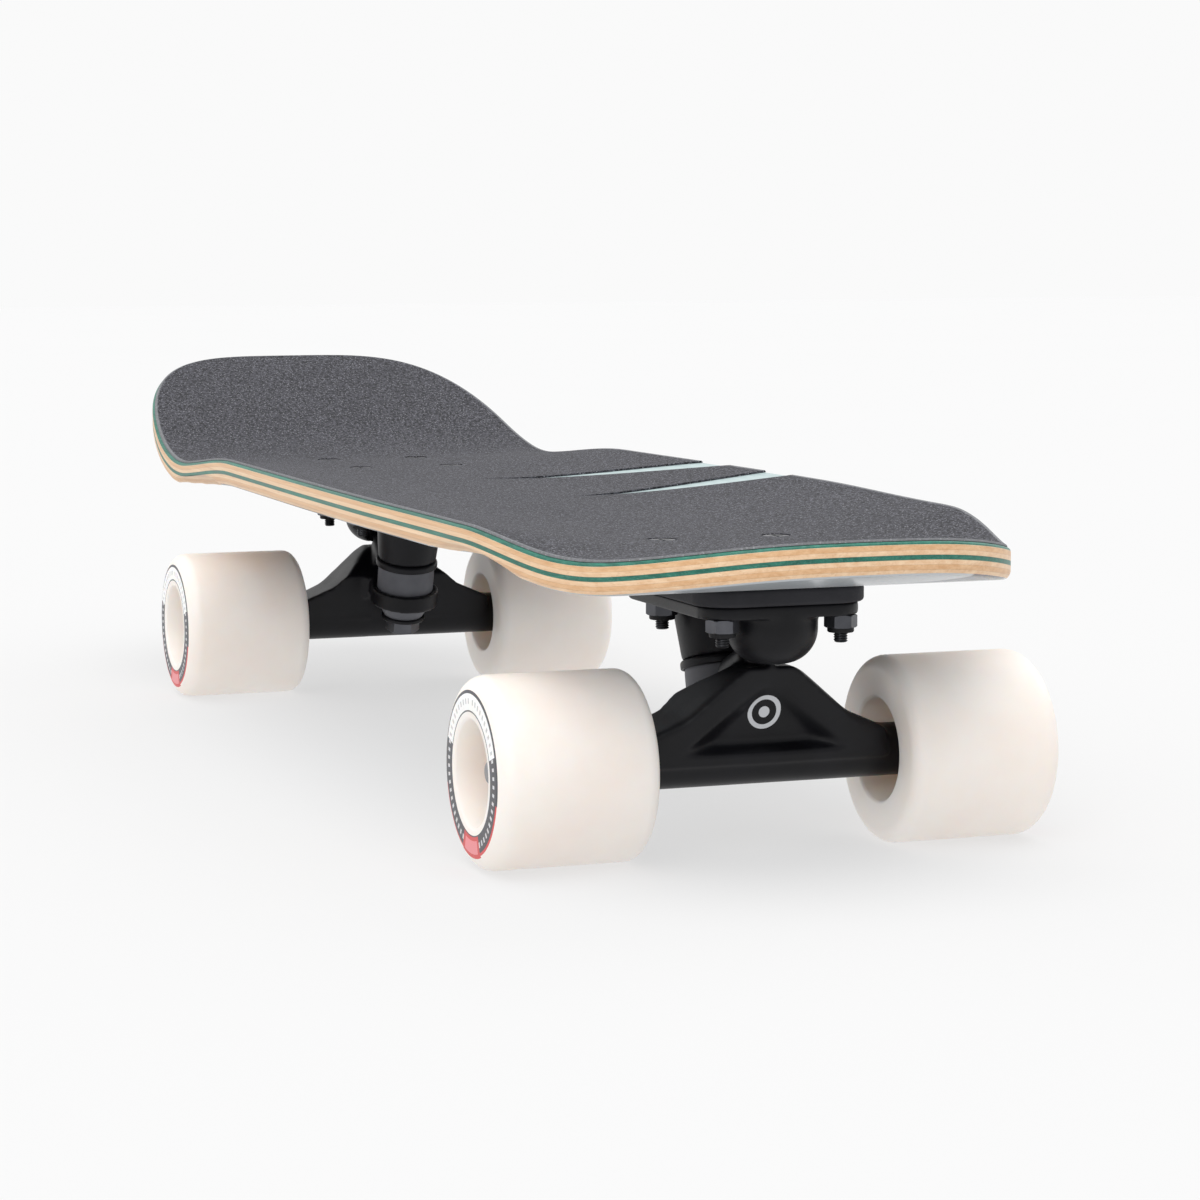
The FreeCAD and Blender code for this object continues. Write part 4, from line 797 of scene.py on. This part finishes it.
def truckHardware(end):
    bolts, nuts, collars = [], [], []
    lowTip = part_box(end + "_truck_bolts")[0].z
    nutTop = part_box(end + "_lock_nuts")[1].z
    nutFoot = nutTop - lockNut["height"]
    for x, y in boltPlaces(end):
        top = deckTop + truckBolt["proud"] + float(surfaceHeight(np.array(x), np.array(y)))
        length = top - truckBolt["headHeight"] - lowTip + truckBolt["overlap"]
        bolts += [headMesh((x, y), top),
                  threaded("shank", (x, y, lowTip), (0, 0, 1), dict(truckBolt, length=length))]
        nuts.append(nutMesh("nut", (x, y, nutFoot), (0, 0, 1), lockNut))
        collars.append(collarMesh("collar", (x, y, nutFoot), (0, 0, -1), lockNut["collar"],
                                  lockNut["collarBore"], lockNut["collarHeight"]))
    for name, parts, node, material in (("_truck_bolt_set", bolts, "_truck_bolts", boltSteel),
                                        ("_lock_nut_set", nuts, "_lock_nuts", nutSteel),
                                        ("_lock_nut_collars", collars, "_lock_nuts", collarNylon)):
        dress(joined(end + name, parts), "board", [end + node], "black_steel", material)


for end in ends:
    truckHardware(end)
print("bolts and nuts made")


# riser pads: a rounded rectangle drawn as a function of the angle, its edges rounded over
riser = {"corner": 12.8 * mm, "edge": 1.2 * mm, "segments": 160}


def riserPiece(end):
    low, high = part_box(end + "_riser_pad")
    corner = riser["corner"]
    middle = np.array([(low.x + high.x) / 2, (low.y + high.y) / 2])
    reach = np.array([(high.x - low.x) / 2, (high.y - low.y) / 2]) - corner
    quarter = np.linspace(0, math.pi / 2, riser["segments"] // 4)
    angle = np.concatenate([quarter + start * math.pi / 2 for start in range(4)])
    signX, signY = np.repeat([1, -1, -1, 1], len(quarter)), np.repeat([1, 1, -1, -1], len(quarter))
    bend = np.linspace(0, math.pi / 2, 5)
    rising, falling = riser["edge"] * (1 - np.sin(bend)), riser["edge"] * (1 - np.cos(bend))
    inset = np.concatenate([[corner], rising, falling, [corner]])
    height = np.concatenate([[low.z], low.z + falling, high.z - rising, [high.z]])
    grow = (corner - inset)[:, None]
    x = middle[0] + signX * reach[0] + grow * np.cos(angle)
    y = middle[1] + signY * reach[1] + grow * np.sin(angle)
    points = np.stack([x, y, np.broadcast_to(height[:, None], x.shape)], -1)
    faces = gridFaces(len(height), len(angle), False, True)
    work = makePiece(end + "_riser", points, faces)
    shell = bmesh.new()
    shell.from_mesh(work.data)
    bmesh.ops.holes_fill(shell, edges=[edge for edge in shell.edges if edge.is_boundary], sides=0)
    bmesh.ops.recalc_face_normals(shell, faces=shell.faces)
    shell.to_mesh(work.data)
    shell.free()
    work.data.set_sharp_from_angle(angle=math.radians(35))
    return work


for end in ends:
    dress(riserPiece(end), "board", [end + "_riser_pad"], "riser_plastic", riserPlastic)


# kingpin and what is threaded on it, along an axis that leans outboard at its foot
stack = {"lean": 15.0, "ringHeight": 8.5 * mm, "seatDepth": 2 * mm, "board": 12.4 * mm,
         "boardHeight": 13 * mm, "bore": 5.05 * mm, "washer": 13.6 * mm, "washerPlate": 1.5 * mm,
         "lip": 1.6 * mm, "road": 11.4 * mm, "roadTip": 8.6 * mm, "roadHeight": 7.6 * mm,
         "roadWasher": 9.6 * mm, "gap": 0.02 * mm}
kingNut = {"flats": 13 * mm, "height": 5.6 * mm, "chamfer": 0.7 * mm, "bore": 4.77 * mm}
kingpin = {"radius": 4.7 * mm, "pitch": 1.06 * mm, "threadDepth": 0.5 * mm, "threadLength": 13 * mm,
           "tail": 1.2 * mm, "headReach": 8 * mm}


def kingpinAxis(end):
    # the middle of the hanger's ring, the way up along the kingpin, and the way outboard across it
    lean, out = math.radians(stack["lean"]), ends[end]
    ring = Vector(joints[end + "_steer"]["pos_m"])
    return (ring, Vector((-out * math.sin(lean), 0, math.cos(lean))),
            Vector((out * math.cos(lean), 0, math.sin(lean))))


# castings: a merged copy of the solid, remeshed finely and relaxed so that every edge is soft
casting = {"voxel": 0.66 * mm, "hangerRelax": 12, "plateRelax": 14, "factor": 0.5, "sharp": 70}
hollow = {"peak": 61.5 * mm, "foot": 33.8 * mm, "half": 33.5 * mm, "depth": 6.2 * mm,
          "footEase": 3.6 * mm, "sideEase": 7 * mm, "blend": 0.3, "faceFoot": 13.1 * mm,
          "faceSlope": 0.155, "faceBase": 8.8 * mm, "reach": 4.7 * mm, "skirt": 0.9, "shallow": 0.5,
          "axle": (4.3 * mm, 31.5 * mm), "barRadius": 8.85 * mm}
collarRing = {"wall": 14.3 * mm, "keep": 0.2, "reach": 6.5 * mm, "top": 2.2 * mm, "flatten": 0.5,
              "facing": 0.9, "facingSoft": 0.6, "outer": 20 * mm, "rim": 12.6 * mm}
# the web lies between these places, each with the length over which its smoothing fades in
web = {"inboard": (-4 * mm, 4 * mm), "foot": (24 * mm, 4 * mm), "barEnd": (52 * mm, 6 * mm),
       "middle": (7 * mm, 5 * mm), "levels": 10, "relax": 70, "factor": 0.5}


def writePoints(piece, points):
    piece.data.vertices.foreach_set("co", points.astype(np.float32).ravel())
    piece.data.update()


def carveFace(x, y, z):
    # depth of a soft-edged triangle: the smooth minimum of how far a point is inside its three sides,
    # eased down to a floor that is deepest at the foot
    height = hollow["peak"] - hollow["foot"]
    slant = math.hypot(height, hollow["half"])
    inFoot = (z - hollow["foot"]) / hollow["footEase"]
    inLeft, inRight = [((hollow["peak"] - z) * hollow["half"] + turn * y * height) / slant
                       / hollow["sideEase"] for turn in (1, -1)]
    inside = -hollow["blend"] * np.log(sum(np.exp(-np.clip(share, -9, 9) / hollow["blend"])
                                           for share in (inFoot, inLeft, inRight)))
    shallow = hollow["shallow"]
    floor = shallow + (1 - shallow) * np.clip((hollow["peak"] - z) / height, 0, 1)
    face = hollow["faceFoot"] + hollow["faceSlope"] * (z - hollow["axle"][1] + hollow["faceBase"])
    carved = face - hollow["depth"] * smoothStep(inside) * floor
    return np.where((inside > -hollow["skirt"]) & (x > face - hollow["reach"]), carved, x)


def roundBar(x, z):
    # below the axle's height nothing stands further from its line than the round bar does
    lineX, lineZ = hollow["axle"]
    radius = np.hypot(x - lineX, z - lineZ)
    shrink = np.where((z < lineZ) & (radius > hollow["barRadius"]), hollow["barRadius"] / radius, 1)
    return lineX + (x - lineX) * shrink, lineZ + (z - lineZ) * shrink


def drawInRing(points, ring, up, outward):
    # the wall round the bushing is drawn in towards the kingpin's axis, except where the web joins it
    ring, up, outward = np.array(ring), np.array(up), np.array(outward)
    wall, top = collarRing["wall"], collarRing["top"]
    offset = points - ring
    along = offset @ up
    radial = offset - along[:, None] * up
    radius = np.linalg.norm(radial, axis=1)
    facing = radial @ outward / np.maximum(radius, 1e-9)
    free = smoothStep((collarRing["facing"] - facing) / collarRing["facingSoft"])
    free = free * (np.abs(along) < collarRing["reach"]) * (radius < collarRing["outer"])
    slim = wall + (radius - wall) * collarRing["keep"]
    scale = np.where(radius > wall, slim / np.maximum(radius, 1e-9), 1)
    lowered = (along > top) & (radius > collarRing["rim"])
    height = np.where(lowered, top + (along - top) * collarRing["flatten"], along)
    made = ring + radial * scale[:, None] + height[:, None] * up
    return points + (made - points) * free[:, None]


def relaxWeb(piece, x, y, z):
    # smooths only the web between the arms, clear of the pivot, the ring and the bar's ends
    share = np.ones(len(x))
    for place, values, sign in (("inboard", x, 1), ("foot", z, 1), ("barEnd", np.abs(y), -1),
                                ("middle", np.abs(y), 1)):
        start, fade = web[place]
        share = share * smoothStep(sign * (values - start) / fade)
    group = piece.vertex_groups.new(name="web")
    for level in range(1, web["levels"] + 1):
        rows = np.flatnonzero(np.round(share * web["levels"]) == level)
        group.add(rows.tolist(), level / web["levels"], "REPLACE")
    soften = piece.modifiers.new("web", "SMOOTH")
    soften.factor, soften.iterations, soften.vertex_group = web["factor"], web["relax"], "web"
    bakeModifiers(piece, casting["sharp"])


def readPoints(piece):
    return readArray(piece.data.vertices, "co", size=3).reshape(-1, 3).astype(float)


def sculptHanger(piece, end):
    # slims the ring, rounds the bar, smooths the web and then presses the hollow into the face
    out, centre = ends[end], frontX if end == "front" else rearX
    points = readPoints(piece)
    points = drawInRing(points, *kingpinAxis(end))
    x, points[:, 2] = roundBar((points[:, 0] - centre) * out, points[:, 2])
    points[:, 0] = centre + out * x
    writePoints(piece, points)
    relaxWeb(piece, x, points[:, 1], points[:, 2])
    points = readPoints(piece)
    x = (points[:, 0] - centre) * out
    points[:, 0] = centre + out * carveFace(x, points[:, 1], points[:, 2])
    writePoints(piece, points)


def voxelSkin(piece):
    remesh = piece.modifiers.new("skin", "REMESH")
    remesh.mode, remesh.voxel_size = "VOXEL", casting["voxel"]
    bakeModifiers(piece, casting["sharp"])


def castPiece(name, node, relax, end):
    piece = bpy.data.objects.new(name, frame["nodes"][node].data.copy())
    scene.collection.objects.link(piece)
    tidyMesh(piece)
    voxelSkin(piece)
    if node.endswith("hanger"):
        sculptHanger(piece, end)
        voxelSkin(piece)
    soften = piece.modifiers.new("soften", "SMOOTH")
    soften.factor, soften.iterations = casting["factor"], relax
    bakeModifiers(piece, casting["sharp"])
    return piece


def castings(end):
    hanger = castPiece(end + "_hanger_casting", end + "_hanger", casting["hangerRelax"], end)
    dress(hanger, end + "_hanger_set", [end + "_hanger"], "painted_casting", hangerPaint)
    plate = castPiece(end + "_baseplate_casting", end + "_baseplate", casting["plateRelax"], end)
    dress(plate, "board", [end + "_baseplate"], "painted_casting", castPaint)
    print(end, "castings:", len(hanger.data.polygons), len(plate.data.polygons))


def kingpinStack(end):
    # each turned piece is an outline of (along, radius, rounding), from the bore round and back to it
    ring, up, _ = kingpinAxis(end)
    gap, plateHeight, rimRadius = stack["gap"], stack["washerPlate"], stack["washer"]
    seat = stack["ringHeight"] / 2 - stack["seatDepth"] + gap
    bore, board, road, flat = stack["bore"], stack["board"], stack["road"], stack["roadWasher"]
    top = seat + stack["boardHeight"]
    plateTop, lip = top + gap + plateHeight, top - stack["lip"]
    foot = -seat - stack["roadHeight"] - gap
    upper = turnedPiece(end + "_barrel_bushing", ring, up, filleted(
        [(seat, bore, 0.3 * mm), (seat, board - 0.1 * mm, 1.1 * mm),
         (seat + stack["boardHeight"] / 2, board, 60 * mm), (top, board - 0.1 * mm, 1.1 * mm),
         (top, bore, 0.3 * mm)], 8), 96)
    washer = turnedPiece(end + "_cup_washer", ring, up, filleted(
        [(top + gap, bore, 0.1 * mm), (top + gap, board + 0.1 * mm, 0.2 * mm),
         (lip, board + 0.15 * mm, 0.2 * mm), (lip, rimRadius, 0.7 * mm),
         (plateTop, rimRadius, 1.3 * mm), (plateTop, bore, 0.1 * mm)], 6), 96)
    lower = turnedPiece(end + "_cone_bushing", ring, up, filleted(
        [(-seat, bore, 0.3 * mm), (-seat, road, 0.8 * mm), (-seat - 1.8 * mm, road, 1.2 * mm),
         (foot, stack["roadTip"] - 0.2 * mm, 0.9 * mm), (foot, bore, 0.3 * mm)], 7), 96)
    plate = turnedPiece(end + "_flat_washer", ring, up, filleted(
        [(foot - gap, bore, 0.1 * mm), (foot - gap, flat, 0.35 * mm),
         (foot - plateHeight, flat, 0.35 * mm), (foot - plateHeight, bore, 0.1 * mm)]), 72)
    nutTop = foot - plateHeight - gap
    nut = nutMesh(end + "_kingpin_hex_nut", ring + up * nutTop, -up, kingNut)
    tail = kingNut["height"] + kingpin["tail"]
    length = nutTop + tail + plateTop + kingpin["headReach"]
    pin = threaded(end + "_kingpin_thread", ring + up * (nutTop - tail), up,
                   dict(kingpin, length=length))
    dress(washer, "board", [end + "_board_washer"], "black_steel", washerSteel)
    dress(plate, "board", [end + "_road_washer"], "black_steel", washerSteel)
    dress(nut, "board", [end + "_kingpin_nut"], "black_steel", nutSteel)
    dress(pin, "board", [end + "_kingpin"], "black_steel", boltSteel)
    for piece, node in ((upper, end + "_board_bushing"), (lower, end + "_road_bushing")):
        piece.data.materials.append(rubber)
        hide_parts(node)
    ring + up * (top - 1 * mm)
    ring + up * (seat + 1 * mm)
    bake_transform(upper)
    ring + up * (foot + 1 * mm)
    ring - up * (seat + 1 * mm)
    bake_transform(lower)


for end in ends:
    castings(end)
    kingpinStack(end)
print("kingpin stacks made")


# axle nuts and bearings at each wheel
axleNut = {"flats": 12.7 * mm, "height": 4.8 * mm, "chamfer": 0.7 * mm, "bore": 3.98 * mm,
           "collar": 5.7 * mm, "collarHeight": 1.6 * mm}
for end in ends:
    for side, out in sides.items():
        prefix = "%s_%s_" % (end, side)
        low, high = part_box(prefix + "axle_nut")
        base = Vector(((low.x + high.x) / 2, low.y if out > 0 else high.y, (low.z + high.z) / 2))
        nut = nutMesh(prefix + "hex_nut", base, (0, out, 0), axleNut)
        body = end + "_hanger_set"
        dress(nut, body, [prefix + "axle_nut"], "plain_steel", nutSteel)
        ring = collarMesh(prefix + "nut_collar", base + Vector((0, out * axleNut["height"], 0)),
                          (0, out, 0), axleNut["collar"], axleNut["bore"], axleNut["collarHeight"])
        dress(ring, body, [prefix + "axle_nut"], "plain_steel", collarNylon)

carried = {"_axle": axleSteel, "_pivot_cup": linerPlastic, "_outer_races": bearingSteel,
           "_inner_races": bearingSteel, "_bearing_balls": bearingSteel, "_bearing_spacer": axleSteel,
           "_speed_rings": axleSteel}
for name, node in frame["nodes"].items():
    for ending, material in carried.items():
        if name.endswith(ending):
            node.data.materials.clear()
            node.data.materials.append(material)
print("carried nodes finished")


# floor, light and camera
studio = {"background": 0.955, "fromNose": 0.5, "floorGlow": 0.596, "floorTone": 0.25, "reach": 8.0,
          "suns": {"overhead": ((0.12, -0.1, 1), 1.3, 55), "cameraFill": ((1, -0.75, 0.75), 0.62, 35),
                   "farRim": ((-0.5, 0.9, 0.8), 0.4, 40)}}


def plainFloor():
    mesh = bpy.data.meshes.new("floor")
    reach, glow, tone = studio["reach"], studio["floorGlow"], studio["floorTone"]
    mesh.from_pydata([(-reach, -reach, 0), (reach, -reach, 0), (reach, reach, 0), (-reach, reach, 0)], [],
                     [(0, 1, 2, 3)])
    floor = bpy.data.objects.new("floor", mesh)
    scene.collection.objects.link(floor)
    look = Recipe("paleFloor", {"Roughness": 1.0, "Specular IOR Level": 0.0, "Emission Strength": 1.0,
                                "Emission Color": (glow, glow, glow, 1)})
    cloud = look.noise(2.0, 2.0)
    floor.data.materials.append(look.finish(colour=look.mix(
        cloud, (tone * 0.99, tone * 0.99, tone * 0.99, 1), (tone * 1.01, tone * 1.01, tone * 1.01, 1))))


def softSun(name, direction, strength, spread):
    lamp = bpy.data.lights.new(name, "SUN")
    lamp.energy, lamp.angle = strength, math.radians(spread)
    made = bpy.data.objects.new(name, lamp)
    made.rotation_euler = Vector(direction).to_track_quat("Z", "Y").to_euler()
    scene.collection.objects.link(made)


def studioSky():
    # lights the board from behind and above, dimmer from the nose, and looks even itself
    sky = Recipe("studio", {"Strength": 1.0}, bpy.data.worlds, "Background", "Generated")
    dim = sky.axis("X").ramp(-0.55, 0.45) * (1 - sky.axis("Z").ramp(0.3, 0.8))
    bright, low = studio["background"], studio["fromNose"]
    seen = sky.node("LightPath", output="Is Camera Ray")
    colour = sky.mix(dim * (1 - seen), (bright, bright, bright, 1), (low, low, low * 1.04, 1))
    sky.put(sky.shader.inputs["Color"], colour)
    scene.world = sky.material


plainFloor()
for name, sun in studio["suns"].items():
    softSun(name, *sun)
studioSky()

view = {"place": (1.24925, -0.41359, 0.20296), "yaw": 2.79406, "pitch": -0.110692, "roll": -0.0025316,
        "lens": 98.78}


def makeCamera():
    ahead = Vector((math.cos(view["pitch"]) * math.cos(view["yaw"]),
                    math.cos(view["pitch"]) * math.sin(view["yaw"]), math.sin(view["pitch"])))
    right = ahead.cross(Vector((0, 0, 1))).normalized()
    up = right.cross(ahead)
    roll = view["roll"]
    rolledRight = right * math.cos(roll) + up * math.sin(roll)
    rolledUp = up * math.cos(roll) - right * math.sin(roll)
    lens = bpy.data.cameras.new("camera")
    lens.lens, lens.sensor_width, lens.clip_start = view["lens"], 36, 0.01
    camera = bpy.data.objects.new("camera", lens)
    turn = Matrix((rolledRight, rolledUp, -ahead)).transposed()
    camera.matrix_world = Matrix.Translation(view["place"]) @ turn.to_4x4()
    scene.collection.objects.link(camera)
    scene.camera = camera


makeCamera()
print("stage, light and camera set")
